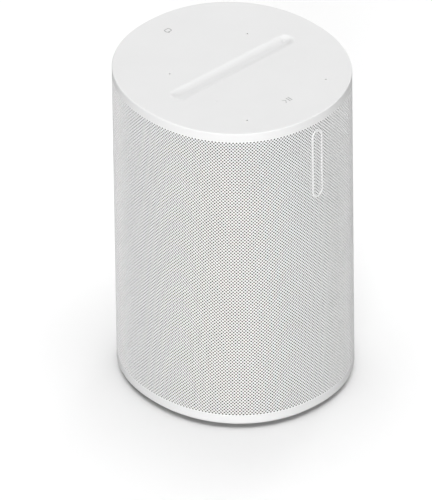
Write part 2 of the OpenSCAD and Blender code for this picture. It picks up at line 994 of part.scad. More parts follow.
module board_screws() {
    color(steel) {
        for (p = concat(main_screw_xz, power_screw_xz)) {
            y_rod(p[0], p[1], pilot_r - 0.35, rear_y - 3, board_back);
            y_rod(p[0], p[1], 2.6, board_back, board_back + 1.8);
        }
        for (p = io_screw_xz) {
            y_rod(p[0], p[1], pilot_r - 0.35, io_y, io_back + 4);
            y_rod(p[0], p[1], 2.4, io_y - 1.6, io_y);
        }
    }
}

// The smooth curved panel at the back that carries the connections
module rear_panel() {
    slot_h = knob_h + mic_switch_travel + 0.8;
    color(white)
        difference() {
            intersection() {
                union() {
                    oval_ring(panel_inset, panel_t, panel_z[0], panel_z[1]);
                    for (p = io_screw_xz)
                        y_rod(p[0], p[1], io_boss_r, io_back, body_d / 2 - panel_inset - panel_t + 0.5);
                }
                panel_opening(0);
            }
            block(
                [-inlet_block[0] / 2 - panel_gap, 40, inlet_z - inlet_block[1] / 2 - panel_gap],
                [inlet_block[0] / 2 + panel_gap, body_d, inlet_z + inlet_block[1] / 2 + panel_gap]
            );
            y_slot(0, usb_z, usb_w + 0.5, usb_h + 0.5, 40, body_d);
            y_rod(0, button_z, button_r + 0.2, 40, body_d);
            translate([-switch_slot_w / 2, 40, mic_switch_z - slot_h / 2])
                cube([switch_slot_w, body_d, slot_h]);
            for (p = io_screw_xz)
                y_rod(p[0], p[1], pilot_r - 0.3, io_back - over, io_back + 4.5);
        }
}

// The figure-eight mains inlet: a block with a round-ended recess
module power_inlet() {
    color(dark_plastic)
        difference() {
            block(
                [-inlet_block[0] / 2, inlet_back_y, inlet_z - inlet_block[1] / 2],
                [inlet_block[0] / 2, inlet_face_y, inlet_z + inlet_block[1] / 2]
            );
            y_slot(0, inlet_z, inlet_w, inlet_h, inlet_face_y - inlet_depth, body_d);
            for (s = [-1, 1])
                y_rod(s * inlet_pin_x, inlet_z, inlet_pin_r, inlet_back_y - over, inlet_face_y);
        }
}

module inlet_pins() {
    color(steel)
        for (s = [-1, 1])
            y_rod(s * inlet_pin_x, inlet_z, inlet_pin_r, inlet_back_y, inlet_face_y - 2);
}

module io_board() {
    color(board_green)
        difference() {
            block([-14, io_y, io_z[0]], [14, io_back, io_z[1]]);
            for (p = io_screw_xz)
                y_rod(p[0], p[1], clear_r, io_y - over, io_back + over);
        }
}

// The port's shell with its tongue
module usb_c_port() {
    tongue = [6.6, 5, 0.7];
    color(steel) {
        difference() {
            y_slot(0, usb_z, usb_w, usb_h, io_back, usb_face_y);
            y_slot(0, usb_z, usb_w - 2 * usb_wall, usb_h - 2 * usb_wall, io_back + 1.2, body_d);
        }
        translate([-tongue[0] / 2, io_back + 1, usb_z - tongue[2] / 2])
            cube(tongue);
    }
}

module button_switch() {
    half = 3;
    color(dark_plastic) {
        block([-half, io_back, button_z - half], [half, io_back + 2, button_z + half]);
        y_rod(0, button_z, 1.6, io_back + 2, io_back + 2.5);
    }
}

// The round button cap with its retaining flange and stem
module pairing_button() {
    flange_front = body_d / 2 - panel_inset - panel_t - 0.4;
    color(white) {
        y_rod(0, button_z, button_r, flange_front, button_face_y);
        y_rod(0, button_z, button_r + 1, flange_front - 1.2, flange_front);
        y_rod(0, button_z, 1.5, io_back + 2.6 + button_travel, flange_front - 1.2);
    }
}

module mic_switch_body() {
    color(dark_plastic)
        block([-4, io_back, mic_switch_z - 6], [4, io_back + 2.4, mic_switch_z + 6]);
}

// The slider at the lower end of its slot: a ribbed knob on a flat plate
module mic_switch_slider() {
    z0 = mic_switch_z - mic_switch_travel / 2;
    plate_y = io_back + 2.6;
    color(white) {
        block([-3.2, plate_y, z0 - 3], [3.2, plate_y + 1.2, z0 + 3]);
        block(
            [-knob_w / 2, plate_y + 1.2, z0 - knob_h / 2],
            [knob_w / 2, knob_face_y - 0.5, z0 + knob_h / 2]
        );
        for (i = [-1 : 1])
            block(
                [-knob_w / 2, knob_face_y - 0.5, z0 + i * 1.4 - 0.35],
                [knob_w / 2, knob_face_y, z0 + i * 1.4 + 0.35]
            );
    }
}

base_foot();
base_tray();
stand_insert();
base_screws();
grille();
front_badge();
top_cap();
touch_board();
mic_gaskets();
mic_modules();
status_light_pipe();
status_led();
top_frame();
top_screws();
touch_flat_cable();
enclosure_front();
enclosure_rear();
enclosure_gasket();
enclosure_screws();
woofer_frame();
woofer_gasket();
woofer_screws();
woofer_surround();
woofer_cone();
woofer_dust_cap();
woofer_voice_coil();
woofer_spider();
woofer_top_plate();
woofer_magnet();
woofer_yoke();
tweeter_waveguide(-1);  // tweeter_left_waveguide
tweeter_surround(-1);  // tweeter_left_surround
tweeter_dome(-1);  // tweeter_left_dome
tweeter_motor(-1);  // tweeter_left_motor
tweeter_waveguide(1);  // tweeter_right_waveguide
tweeter_surround(1);  // tweeter_right_surround
tweeter_dome(1);  // tweeter_right_dome
tweeter_motor(1);  // tweeter_right_motor
tweeter_screws();
speaker_leads();
main_board();
main_shield_can();
amplifier_heat_sink();
radio_antennas();
power_board();
power_transformer();
power_capacitor();
power_lead();
board_screws();
rear_panel();
power_inlet();
inlet_pins();
io_board();
usb_c_port();
button_switch();
pairing_button();
mic_switch_body();
mic_switch_slider();
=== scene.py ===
"""The looks of a compact smart speaker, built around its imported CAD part.

The shell is made again with finer shapes: a sleeve with thousands of real holes, a cap with a
soft trough, a base band, a foot, a badge and a connection panel. The works inside keep their
CAD shapes and get their own finishes. Lengths are in metres, +Z is up and the front faces -Y.
"""

import math

import bmesh
import bpy
import numpy as np
from mathutils import Matrix, Vector
from mathutils.geometry import tessellate_polygon


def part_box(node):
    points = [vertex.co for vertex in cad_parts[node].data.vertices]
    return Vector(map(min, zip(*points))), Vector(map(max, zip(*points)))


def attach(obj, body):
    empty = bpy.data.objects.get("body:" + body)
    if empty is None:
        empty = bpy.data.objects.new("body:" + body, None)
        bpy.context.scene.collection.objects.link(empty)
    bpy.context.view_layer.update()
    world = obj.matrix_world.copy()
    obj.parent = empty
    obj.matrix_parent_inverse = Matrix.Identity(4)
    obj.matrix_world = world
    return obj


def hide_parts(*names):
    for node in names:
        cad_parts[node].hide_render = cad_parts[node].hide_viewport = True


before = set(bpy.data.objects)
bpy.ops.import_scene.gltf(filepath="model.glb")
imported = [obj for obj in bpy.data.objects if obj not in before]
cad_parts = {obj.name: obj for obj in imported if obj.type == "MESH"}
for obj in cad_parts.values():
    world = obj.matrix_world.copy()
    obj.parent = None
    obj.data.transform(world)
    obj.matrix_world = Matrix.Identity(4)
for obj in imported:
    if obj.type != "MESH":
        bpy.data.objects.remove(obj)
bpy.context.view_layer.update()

MM = 0.001


# ---- sizes from the CAD part


def low(node):
    """The lowest corner of a CAD node."""
    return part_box(node)[0]


def high(node):
    """The highest corner of a CAD node."""
    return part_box(node)[1]


HALF_X = high("grille").x
HALF_Y = high("grille").y
OVAL_POWER = 2.12
BASE_BOTTOM = low("base_tray").z
BAND_TOP = low("grille").z
CAP_BOTTOM = high("grille").z
CAP_TOP = high("top_cap").z
SLEEVE_WALL = 1.4 * MM
LIP_GAP = 0.1 * MM
LIP_WALL = 0.9 * MM
LIP_HEIGHT = 1.6 * MM

# ---- the oval outline


def oval(angle, inset=0.0):
    """Points of the body's oval at these angles, moved in by an inset."""
    c, s = np.cos(angle), np.sin(angle)
    x = (HALF_X - inset) * np.sign(c) * np.abs(c) ** (2 / OVAL_POWER)
    y = (HALF_Y - inset) * np.sign(s) * np.abs(s) ** (2 / OVAL_POWER)
    return x, y


def oval_depth(x, inset=0.0):
    """How far the oval reaches in Y at these places across it."""
    share = np.clip(1 - np.abs(x / (HALF_X - inset)) ** OVAL_POWER, 0, 1)
    return (HALF_Y - inset) * share ** (1 / OVAL_POWER)


def arc_table(start):
    """(distance along the oval, angle) from a start angle once round, counterclockwise."""
    angle = start + np.linspace(0, 2 * math.pi, 20001)
    x, y = oval(angle)
    run = np.concatenate([[0], np.cumsum(np.hypot(np.diff(x), np.diff(y)))])
    return run, angle


REAR_RUN, REAR_ANGLE = arc_table(math.pi / 2)
GIRTH = REAR_RUN[-1]

# Every lofted ring has this many points, evenly spaced from the right-hand side
RING = 384
SIDE_RUN, SIDE_ANGLE = arc_table(0.0)
RING_ANGLE = np.interp(np.arange(RING) * GIRTH / RING, SIDE_RUN, SIDE_ANGLE)


def oval_ring(inset, z):
    """One ring of the oval at a height."""
    x, y = oval(RING_ANGLE, inset)
    return np.stack([x, y, np.full(RING, z)], 1)


def point_ring(z):
    """A ring shrunk to a point on the axis."""
    return np.array([[0.0, 0.0, z]] * RING)


def fillet(z0, inset0, z1, inset1, steps):
    """(inset, z) pairs of a quarter round from one level to another, upright at the first."""
    turn = np.linspace(0, math.pi / 2, steps + 1)
    along, up = 1 - np.cos(turn), np.sin(turn)
    return list(zip(inset0 + (inset1 - inset0) * along, z0 + (z1 - z0) * up))


# ---- meshes


def mesh_from(name, points, faces):
    """A mesh from points and a list of faces."""
    mesh = bpy.data.meshes.new(name)
    mesh.from_pydata([tuple(p) for p in points], [], [tuple(f) for f in faces])
    return mesh


def weld(mesh, distance=1e-7):
    """Joins points that coincide and drops the faces that this leaves empty."""
    bm = bmesh.new()
    bm.from_mesh(mesh)
    bmesh.ops.remove_doubles(bm, verts=bm.verts, dist=distance)
    bmesh.ops.dissolve_degenerate(bm, edges=bm.edges, dist=distance)
    bm.to_mesh(mesh)
    bm.free()
    return mesh


def skin(name, rings, wrap=False):
    """A mesh through rings of points. To wrap, the last is joined to the first."""
    n, m = len(rings[0]), len(rings)
    i = np.arange(n)
    j = (i + 1) % n
    faces = []
    for k in range(m if wrap else m - 1):
        a, b = k * n, (k + 1) % m * n
        faces += np.stack([a + i, a + j, b + j, b + i], 1).tolist()
    return weld(mesh_from(name, np.concatenate(rings), faces))


def lathe(name, profile, steps=48, wrap=False):
    """A mesh turned round Z from (radius, z) pairs that run up the outside."""
    a = np.arange(steps) * 2 * math.pi / steps
    rings = [
        np.stack([r * np.cos(a), r * np.sin(a), np.full(steps, z)], 1) for r, z in profile
    ]
    return skin(name, rings, wrap)


def rod(r, z0, z1):
    """The profile of a plain round post, for a lathe."""
    return [(0, z0), (r, z0), (r, z1), (0, z1)]


def arc(cx, cy, r, a0, a1, steps=8):
    """Points of an arc, in degrees, both ends in."""
    a = np.radians(np.linspace(a0, a1, steps + 1))
    return [(cx + r * math.cos(t), cy + r * math.sin(t)) for t in a]


def rounded_box(w, h, r, cx=0.0, cy=0.0, steps=6):
    """A counterclockwise rectangle with round corners. With r half its side it is a pill."""
    x, y = w / 2 - r, h / 2 - r
    corners = [(x, -y, -90), (x, y, 0), (-x, y, 90), (-x, -y, 180)]
    points = []
    for px, py, a in corners:
        points += arc(cx + px, cy + py, r, a, a + 90, steps)
    kept = [p for k, p in enumerate(points) if math.dist(p, points[k - 1]) > 1e-7]
    return np.array(kept)


def circle(r, cx=0.0, cy=0.0, steps=32):
    """A counterclockwise circle."""
    return np.array(arc(cx, cy, r, 0, 360 - 360 / steps, steps - 1))


def moved_in(points, distance):
    """An outline moved to its left, which is into the material."""
    before, after = np.roll(points, 1, 0), np.roll(points, -1, 0)
    def left(v):
        v = v / np.linalg.norm(v, axis=1)[:, None]
        return np.stack([-v[:, 1], v[:, 0]], 1)
    n1, n2 = left(points - before), left(after - points)
    miter = (n1 + n2) / (1 + (n1 * n2).sum(1))[:, None]
    return points + distance * miter


def capped(loops, facing):
    """Triangles that fill loops of points, with holes, as index triples that face up or down."""
    flat = [[Vector((x, y, 0)) for x, y in loop] for loop in loops]
    points = [p for loop in flat for p in loop]
    out = []
    for a, b, c in tessellate_polygon(flat):
        up = (points[b] - points[a]).cross(points[c] - points[a]).z
        if abs(up) > 1e-16:
            out.append((a, b, c) if up * facing > 0 else (a, c, b))
    return out


def plate(name, outer, thick, edge, holes=(), floors=(), back_edge=0.0, steps=3):
    """A plate in XY from Z 0 to thick with rounded front edges, and holes in it.

    Outlines are counterclockwise. floors gives the height of each hole's floor, or None
    where the hole goes through.
    """
    turn = np.linspace(0, math.pi / 2, steps + 1)
    front = [(edge * (1 - math.cos(t)), thick - edge + edge * math.sin(t)) for t in turn]
    back = [(back_edge * (1 - math.sin(t)), back_edge * (1 - math.cos(t))) for t in turn]
    floors = list(floors) or [None] * len(holes)
    points, faces, front_loops, back_loops = [], [], [], []

    def add_wall(outline, levels):
        start = len(points)
        n = len(outline)
        for inset, z in levels:
            points.extend((x, y, z) for x, y in moved_in(outline, inset))
        for k in range(len(levels) - 1):
            for i in range(n):
                a, b = start + k * n + i, start + k * n + (i + 1) % n
                faces.append((a, b, b + n, a + n))
        last = start + (len(levels) - 1) * n
        return list(range(start, start + n)), list(range(last, last + n))

    def add_cap(loops, facing):
        ids = [i for loop in loops for i in loop]
        flat = [[points[i][:2] for i in loop] for loop in loops]
        faces.extend(tuple(ids[k] for k in t) for t in capped(flat, facing))

    whole = (back if back_edge else [(0.0, 0.0)]) + front
    first, last = add_wall(np.asarray(outer), whole)
    front_loops.append(last)
    back_loops.append(first)
    for outline, floor in zip(holes, floors):
        turned = np.asarray(outline)[::-1]
        levels = whole if floor is None else [(0.0, floor)] + front
        first, last = add_wall(turned, levels)
        front_loops.append(last)
        if floor is None:
            back_loops.append(first)
        else:
            add_cap([first], 1)
    add_cap(front_loops, 1)
    add_cap(back_loops, -1)
    return weld(mesh_from(name, points, faces), 1e-8)


def cut_across(mesh, low_x, high_x, count):
    """Cuts a mesh at even steps of X, so that it can bend."""
    bm = bmesh.new()
    bm.from_mesh(mesh)
    for x in np.linspace(low_x, high_x, count + 1)[1:-1]:
        bmesh.ops.bisect_plane(
            bm, geom=bm.verts[:] + bm.edges[:] + bm.faces[:], plane_co=(x, 0, 0), plane_no=(1, 0, 0)
        )
    bm.to_mesh(mesh)
    bm.free()
    return mesh


def reshape(mesh, place):
    """Moves a mesh's points by a function of their coordinates, an array of rows."""
    co = np.empty(len(mesh.vertices) * 3)
    mesh.vertices.foreach_get("co", co)
    mesh.vertices.foreach_set("co", place(co.reshape(-1, 3)).ravel())
    mesh.update()
    return mesh


def joined(name, meshes):
    """Several meshes as one."""
    bm = bmesh.new()
    for mesh in meshes:
        bm.from_mesh(mesh)
    out = bpy.data.meshes.new(name)
    bm.to_mesh(out)
    bm.free()
    return out


def copies(mesh, places):
    """Copies of a mesh, moved to places given as (x, y) or (x, y, z)."""
    out = []
    for place in places:
        out.append(mesh.copy())
        out[-1].transform(Matrix.Translation(Vector(place).to_3d()))
    return out


def added(name, data):
    """A new object in the scene."""
    o = bpy.data.objects.new(name, data)
    bpy.context.scene.collection.objects.link(o)
    return o


def combined(name, mesh, tool, operation):
    """A mesh after a boolean with another."""
    a, b = added(name, mesh), added(name + "_tool", tool)
    change = a.modifiers.new("cut", "BOOLEAN")
    change.operation = operation
    change.solver = "EXACT"
    change.object = b
    shapes = bpy.context.evaluated_depsgraph_get()
    out = bpy.data.meshes.new_from_object(a.evaluated_get(shapes))
    for o in (a, b):
        bpy.data.objects.remove(o)
    return out


def facing_back(mesh, z=0.0, y=0.0):
    """Turns a plate's face from +Z to +Y, with its own Y up, and sets it at a depth and height."""
    turn = Matrix(((-1, 0, 0, 0), (0, 0, 1, y), (0, 1, 0, z), (0, 0, 0, 1)))
    mesh.transform(turn)
    return mesh


def dress(mesh, material, sharp=35.0):
    """One material, and smooth shading except at edges sharper than an angle in degrees."""
    mesh.materials.clear()
    mesh.materials.append(material)
    mesh.shade_smooth()
    mesh.set_sharp_from_angle(angle=math.radians(sharp))


def piece(name, mesh, material, body="root", replaces=(), sharp=35.0, weighted=False):
    """A shown object from a mesh that rides a body."""
    o = added(name, mesh)
    dress(mesh, material, sharp)
    if weighted:
        even = o.modifiers.new("even_normals", "WEIGHTED_NORMAL")
        even.keep_sharp = True
    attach(o, body)
    if replaces:
        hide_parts(*replaces)
    return o


# ---- finishes


def grey(value):
    """A neutral colour."""
    return (value, value, value)


def shade(colour, share, lift=0.0):
    """A colour made darker or paler."""
    return tuple(c * share + lift for c in colour)


# The share and the two colours of a Mix node that mixes colours
MIX_COLOUR_SOCKETS = (0, 6, 7)


class Finish:
    """One material's node tree, with short ways to add and link its nodes."""

    def __init__(self, name):
        self.material = bpy.data.materials.new(name)
        self.material.use_nodes = True
        self.tree = self.material.node_tree
        self.shader = self.tree.nodes["Principled BSDF"]
        self.place = self.add("ShaderNodeTexCoord").outputs["Object"]

    def feed(self, socket, value):
        """Links a socket, or sets it to a number, a colour or a vector."""
        if isinstance(value, bpy.types.NodeSocket):
            self.tree.links.new(value, socket)
        elif socket.type == "RGBA":
            socket.default_value = (*value, 1.0)
        else:
            socket.default_value = value

    def add(self, kind, inputs=None, **settings):
        """A node with these settings, and its sockets fed by name."""
        made = self.tree.nodes.new(kind)
        for key, value in settings.items():
            setattr(made, key, value)
        for key, value in (inputs or {}).items():
            self.feed(made.inputs[key], value)
        return made

    def stretched(self, x, y, z):
        """The object's coordinates, scaled on each axis."""
        return self.add("ShaderNodeMapping", {"Vector": self.place, "Scale": (x, y, z)}).outputs[0]

    def noise(self, scale, detail=3.0, roughness=0.55, at=None):
        """Cloudy noise."""
        inputs = {
            "Vector": at or self.place, "Scale": scale, "Detail": detail, "Roughness": roughness,
        }
        return self.add("ShaderNodeTexNoise", inputs).outputs["Fac"]

    def cells(self, scale, at=None, feature="F1", **inputs):
        """The distance to the middle or the edge of a cell."""
        inputs.update({"Vector": at or self.place, "Scale": scale})
        return self.add("ShaderNodeTexVoronoi", inputs, feature=feature).outputs["Distance"]

    def bands(self, scale, direction="Z", distortion=0.0):
        """Parallel waves along one axis."""
        inputs = {"Vector": self.place, "Scale": scale, "Distortion": distortion}
        return self.add("ShaderNodeTexWave", inputs, bands_direction=direction).outputs["Fac"]

    def spread(self, value, from_low, from_high, to_low=0.0, to_high=1.0):
        """A value carried from one range to another."""
        inputs = {
            "Value": value, "From Min": from_low, "From Max": from_high,
            "To Min": to_low, "To Max": to_high,
        }
        return self.add("ShaderNodeMapRange", inputs).outputs["Result"]

    def blend(self, share, a, b):
        """Two colours mixed by a share."""
        made = self.add("ShaderNodeMix", data_type="RGBA")
        for socket, value in zip(MIX_COLOUR_SOCKETS, (share, a, b)):
            self.feed(made.inputs[socket], value)
        return made.outputs[2]

    def sum(self, a, b, operation="ADD"):
        """Two values added, or put together by another operation."""
        made = self.add("ShaderNodeMath", operation=operation)
        for socket, value in zip(made.inputs, (a, b)):
            self.feed(socket, value)
        return made.outputs[0]

    def set(self, **values):
        """Values and links on the shader, with _ for the spaces in a socket's name."""
        for key, value in values.items():
            self.feed(self.shader.inputs[key.replace("_", " ")], value)

    def both(self, a, b, weight, a_from=(0.3, 0.7), b_from=(0.3, 0.7)):
        """Two patterns, each carried from its range to its share of the whole, and added."""
        return self.sum(self.spread(a, *a_from, 0, weight), self.spread(b, *b_from, 0, 1 - weight))

    def coat(self, share, a, b, rough, height, distance, strength=1.0, **shader):
        """The material: two colours mixed by a share, a roughness, and bump from a height."""
        inputs = {"Height": height, "Distance": distance, "Strength": strength}
        bump = self.add("ShaderNodeBump", inputs).outputs[0]
        self.set(Base_Color=self.blend(share, a, b), Roughness=rough, Normal=bump, **shader)
        return self.material


def moulded(name, colour, rough, spread=0.012, grain=2600.0, depth=0.012 * MM, **shader):
    """Moulded or painted plastic: faint clouds of colour, a fine grain and an uneven gloss."""
    f = Finish(name)
    speck = f.noise(grain, 2.0)
    share = f.both(f.noise(38.0, 4.0), speck, 0.8)
    wear = f.sum(f.noise(160.0, 5.0, 0.6), speck, "MULTIPLY")
    rough = f.spread(wear, 0.1, 0.4, rough - 0.05, rough + 0.05)
    dark, light = shade(colour, 1 - spread), shade(colour, 1 + spread)
    return f.coat(share, dark, light, rough, speck, depth, **shader)


def brushed(name, colour, rough, axis=(1, 1, 20)):
    """Drawn or rolled metal: fine lines across one axis, a few stains."""
    f = Finish(name)
    lines = f.noise(900.0, 3.0, 0.6, f.stretched(*axis))
    share = f.both(lines, f.noise(90.0, 5.0, 0.6), 0.6, b_from=(0.35, 0.75))
    rough = f.spread(lines, 0.25, 0.75, rough - 0.08, rough + 0.1)
    return f.coat(share, shade(colour, 0.9), colour, rough, lines, 0.01 * MM, 0.6, Metallic=1.0)


def rubber(name, colour, rough=0.75):
    """Moulded rubber: a dull skin with a dusting of paler specks and fine pits."""
    f = Finish(name)
    dust = f.noise(220.0, 6.0, 0.65)
    share = f.spread(dust, 0.45, 0.75, 0.0, 0.7)
    rough = f.spread(dust, 0.3, 0.7, rough - 0.1, rough + 0.1)
    pale, pits = shade(colour, 1.7, 0.01), f.noise(3400.0, 2.0)
    return f.coat(share, colour, pale, rough, pits, 0.02 * MM, Specular_IOR_Level=0.35)


def cast_magnet(name):
    """Sintered ferrite: charcoal with granular chips and a ground sheen."""
    f = Finish(name)
    grains = f.cells(1500.0)
    share = f.spread(f.noise(300.0, 6.0, 0.7), 0.4, 0.7)
    rough = f.spread(grains, 0.0, 0.8, 0.38, 0.7)
    return f.coat(share, grey(0.03), grey(0.075), rough, grains, 0.03 * MM, Metallic=0.25)


def fibres(name, colour, rough=0.85):
    """Pressed paper pulp: short fibres lying every way."""
    f = Finish(name)
    ways = ((1, 6, 1), (6, 1, 1), (1, 1, 6))
    one, two, three = (f.noise(900.0, 3.0, 0.6, f.stretched(*way)) for way in ways)
    felt = f.sum(f.sum(one, two, "MAXIMUM"), three, "MAXIMUM")
    rough = f.spread(felt, 0.4, 0.8, rough - 0.12, rough + 0.1)
    pale = shade(colour, 2.2, 0.006)
    return f.coat(f.spread(felt, 0.5, 0.8), colour, pale, rough, felt, 0.06 * MM)


def woven(name, colour, thread, rough=0.7):
    """Coated cloth: two sets of threads that cross."""
    f = Finish(name)
    pitch = 0.5 / thread / math.pi
    cross = f.sum(f.bands(pitch, "X", 0.3), f.bands(pitch, "Z", 0.3), "MULTIPLY")
    share = f.both(cross, f.noise(120.0, 4.0), 0.75, (0.0, 0.6))
    rough = f.spread(cross, 0, 1, rough + 0.1, rough - 0.08)
    dark = shade(colour, 0.55)
    return f.coat(share, dark, colour, rough, cross, 0.08 * MM, Sheen_Weight=0.2)


def wound(name, colour, wire=0.2 * MM):
    """A winding of lacquered wire, turn beside turn."""
    f = Finish(name)
    turns = f.bands(0.5 / wire / math.pi, "Y", 0.15)
    tone = f.noise(260.0, 4.0)
    share = f.both(turns, tone, 0.8, (0.0, 0.7))
    rough = f.spread(tone, 0.3, 0.7, 0.24, 0.42)
    gloss = {"Metallic": 0.9, "Coat_Weight": 0.3}
    return f.coat(share, shade(colour, 0.45), colour, rough, turns, 0.05 * MM, **gloss)


def circuit(name, mask, trace):
    """A circuit board: solder mask over traces, with small gilt pads."""
    f = Finish(name)
    flattened = f.stretched(1, 0.2, 1)
    edges = f.cells(330.0, flattened, "DISTANCE_TO_EDGE", Randomness=0.55)
    lines = f.spread(edges, 0.03, 0.06, 1.0, 0.0)
    pads = f.spread(f.cells(330.0, flattened), 0.08, 0.12, 1.0, 0.0)
    ground = f.blend(f.spread(f.noise(90.0, 4.0), 0.3, 0.7), shade(mask, 0.75), mask)
    traced, gilt = f.blend(lines, ground, trace), (0.62, 0.52, 0.28)
    gloss = {"Metallic": f.spread(pads, 0, 1, 0.0, 0.9), "Coat_Weight": 0.25}
    rough = f.spread(pads, 0, 1, 0.42, 0.3)
    return f.coat(pads, traced, gilt, rough, f.sum(lines, pads), 0.03 * MM, **gloss)


def striped_film(name, colour, stripe):
    """A flat cable: polyester film over parallel conductors."""
    f = Finish(name)
    stripes = f.spread(f.bands(160.0, "X"), 0.35, 0.6)
    haze = f.noise(180.0, 4.0)
    ground = f.blend(f.spread(haze, 0.3, 0.7), shade(colour, 0.85), colour)
    rough = f.spread(haze, 0.3, 0.7, 0.22, 0.36)
    return f.coat(stripes, ground, stripe, rough, stripes, 0.03 * MM)


def wrapped(name, colour, scale):
    """Tape or shrink sleeve: overlapping turns with faint wrinkles."""
    f = Finish(name)
    turns = f.bands(scale, "Z", 0.6)
    wrinkles = f.noise(400.0, 5.0, 0.6, f.stretched(1, 1, 4))
    share = f.both(turns, wrinkles, 0.6, (0.1, 0.5))
    rough = f.spread(wrinkles, 0.3, 0.7, 0.3, 0.45)
    return f.coat(share, shade(colour, 0.8), colour, rough, f.sum(turns, wrinkles), 0.04 * MM)


def clear_plastic(name):
    """A light pipe of milky clear plastic."""
    f = Finish(name)
    haze = f.noise(900.0, 4.0)
    share, rough = f.spread(haze, 0.3, 0.7), f.spread(haze, 0.3, 0.7, 0.2, 0.4)
    clear = {"Transmission_Weight": 0.12, "IOR": 1.49}
    return f.coat(share, grey(0.78), grey(0.90), rough, haze, 0.005 * MM, **clear)


def printed_ink(name, colour):
    """Pad-printed ink: a thin even film with a faintly ragged tone."""
    f = Finish(name)
    tone = f.noise(1500.0, 4.0, 0.7)
    share, rough = f.spread(tone, 0.35, 0.65), f.spread(tone, 0.3, 0.7, 0.45, 0.6)
    return f.coat(share, shade(colour, 0.93), colour, rough, tone, 0.004 * MM)


WHITE = grey(0.777)
SHELL_PLASTIC = moulded("body_plastic", WHITE, 0.5, Specular_IOR_Level=0.25)
CAP_PLASTIC = moulded("cap_plastic", WHITE, 0.55, grain=3200.0, Specular_IOR_Level=0.25)
GRILLE_PAINT = moulded(
    "grille_paint", grey(0.845), 0.6, spread=0.015, grain=1800.0, Specular_IOR_Level=0.1
)
BADGE_PLASTIC = moulded("badge_plastic", grey(0.80), 0.4)
BUTTON_PLASTIC = moulded("button_plastic", grey(0.72), 0.42)
DARK_PLASTIC = moulded("inner_plastic", grey(0.035), 0.5, spread=0.2, depth=0.03 * MM)
BASKET_PLASTIC = moulded("basket_plastic", grey(0.045), 0.45, spread=0.2, depth=0.03 * MM)
INLET_PLASTIC = moulded("inlet_plastic", grey(0.03), 0.38, spread=0.2)
LED_BODY = moulded("led_body", (0.85, 0.83, 0.70), 0.35, spread=0.04)
FOOT_RUBBER = rubber("foot_rubber", grey(0.022))
GASKET_RUBBER = rubber("gasket_rubber", grey(0.018))
SURROUND_RUBBER = rubber("surround_rubber", grey(0.02), 0.55)
BRASS = brushed("insert_brass", (0.72, 0.52, 0.24), 0.32)
PIN_BRASS = brushed("pin_brass", (0.75, 0.70, 0.58), 0.25, (1, 14, 1))
SCREW_STEEL = brushed("screw_steel", grey(0.42), 0.32, (6, 6, 1))
MOTOR_STEEL = brushed("motor_steel", grey(0.48), 0.34, (1, 12, 1))
PORT_STEEL = brushed("port_steel", grey(0.55), 0.28, (1, 12, 1))
SHIELD_STEEL = brushed("shield_steel", grey(0.62), 0.3, (14, 1, 1))
HEAT_SINK = brushed("heat_sink_aluminium", grey(0.68), 0.38, (1, 1, 16))
FERRITE = cast_magnet("magnet_ferrite")
BOARD = circuit("circuit_board", (0.012, 0.085, 0.04), (0.03, 0.16, 0.07))
ANTENNA = circuit("antenna_board", (0.02, 0.03, 0.05), (0.55, 0.40, 0.16))
CONE_PAPER = fibres("cone_paper", grey(0.03))
DOME_SILK = woven("dome_silk", grey(0.10), 0.3 * MM)
LINER_CLOTH = woven("grille_liner", grey(0.02), 0.25 * MM, 0.9)
SPIDER_CLOTH = woven("spider_cloth", (0.62, 0.42, 0.14), 0.7 * MM)
COPPER = wound("copper_wire", (0.72, 0.36, 0.18))
LEAD_SLEEVE = rubber("lead_sleeve", (0.10, 0.012, 0.010), 0.5)
FLAT_CABLE = striped_film("flat_cable", (0.62, 0.36, 0.08), (0.70, 0.52, 0.26))
TRANSFORMER = wrapped("transformer_tape", (0.62, 0.48, 0.06), 90.0)
CAPACITOR = wrapped("capacitor_sleeve", (0.02, 0.035, 0.09), 45.0)
LIGHT_PIPE = clear_plastic("light_pipe")
INK = printed_ink("printed_marks", grey(0.40))

# ---- perforated sleeve

# A lattice of diamond cells: a hole sits at every place where column plus row is even
COLUMNS = 428
ROWS = 176
COLUMN_STEP = GIRTH / COLUMNS
ROW_STEP = (CAP_BOTTOM - BAND_TOP) / ROWS
HOLE_R = 0.505 * MM
SHEET_WALL = 0.25 * MM
LINER_GAP = 0.03 * MM
HOLE_SIDES = 8
SECTORS = 8
# Columns each side of the middle of the back, and rows, that the connection panel takes
OPEN_COLUMNS = 18
OPEN_ROWS = (14, 112)
CORNERS = np.array([(1, 0), (0, 1), (-1, 0), (0, -1)])
SQUARES = np.array([(0, 0), (-1, 0), (-1, -1), (0, -1)])


def on_sleeve(run, z, depth):
    """Points on the sleeve at these distances round it from the middle of the back."""
    angle = np.interp(np.mod(run, GIRTH), REAR_RUN, REAR_ANGLE)
    x, y = oval(angle)
    nx = np.sign(x) * np.abs(x / HALF_X) ** (OVAL_POWER - 1) / HALF_X
    ny = np.sign(y) * np.abs(y / HALF_Y) ** (OVAL_POWER - 1) / HALF_Y
    size = np.hypot(nx, ny)
    return np.stack([x - depth * nx / size, y - depth * ny / size, z], 1)


def has_sleeve(column, row):
    """Whether a unit square of the lattice holds sleeve."""
    across = (column + COLUMNS // 2) % COLUMNS - COLUMNS // 2
    opening = (
        (across >= -OPEN_COLUMNS) & (across < OPEN_COLUMNS)
        & (row >= OPEN_ROWS[0]) & (row < OPEN_ROWS[1])
    )
    return (row >= 0) & (row < ROWS) & ~opening


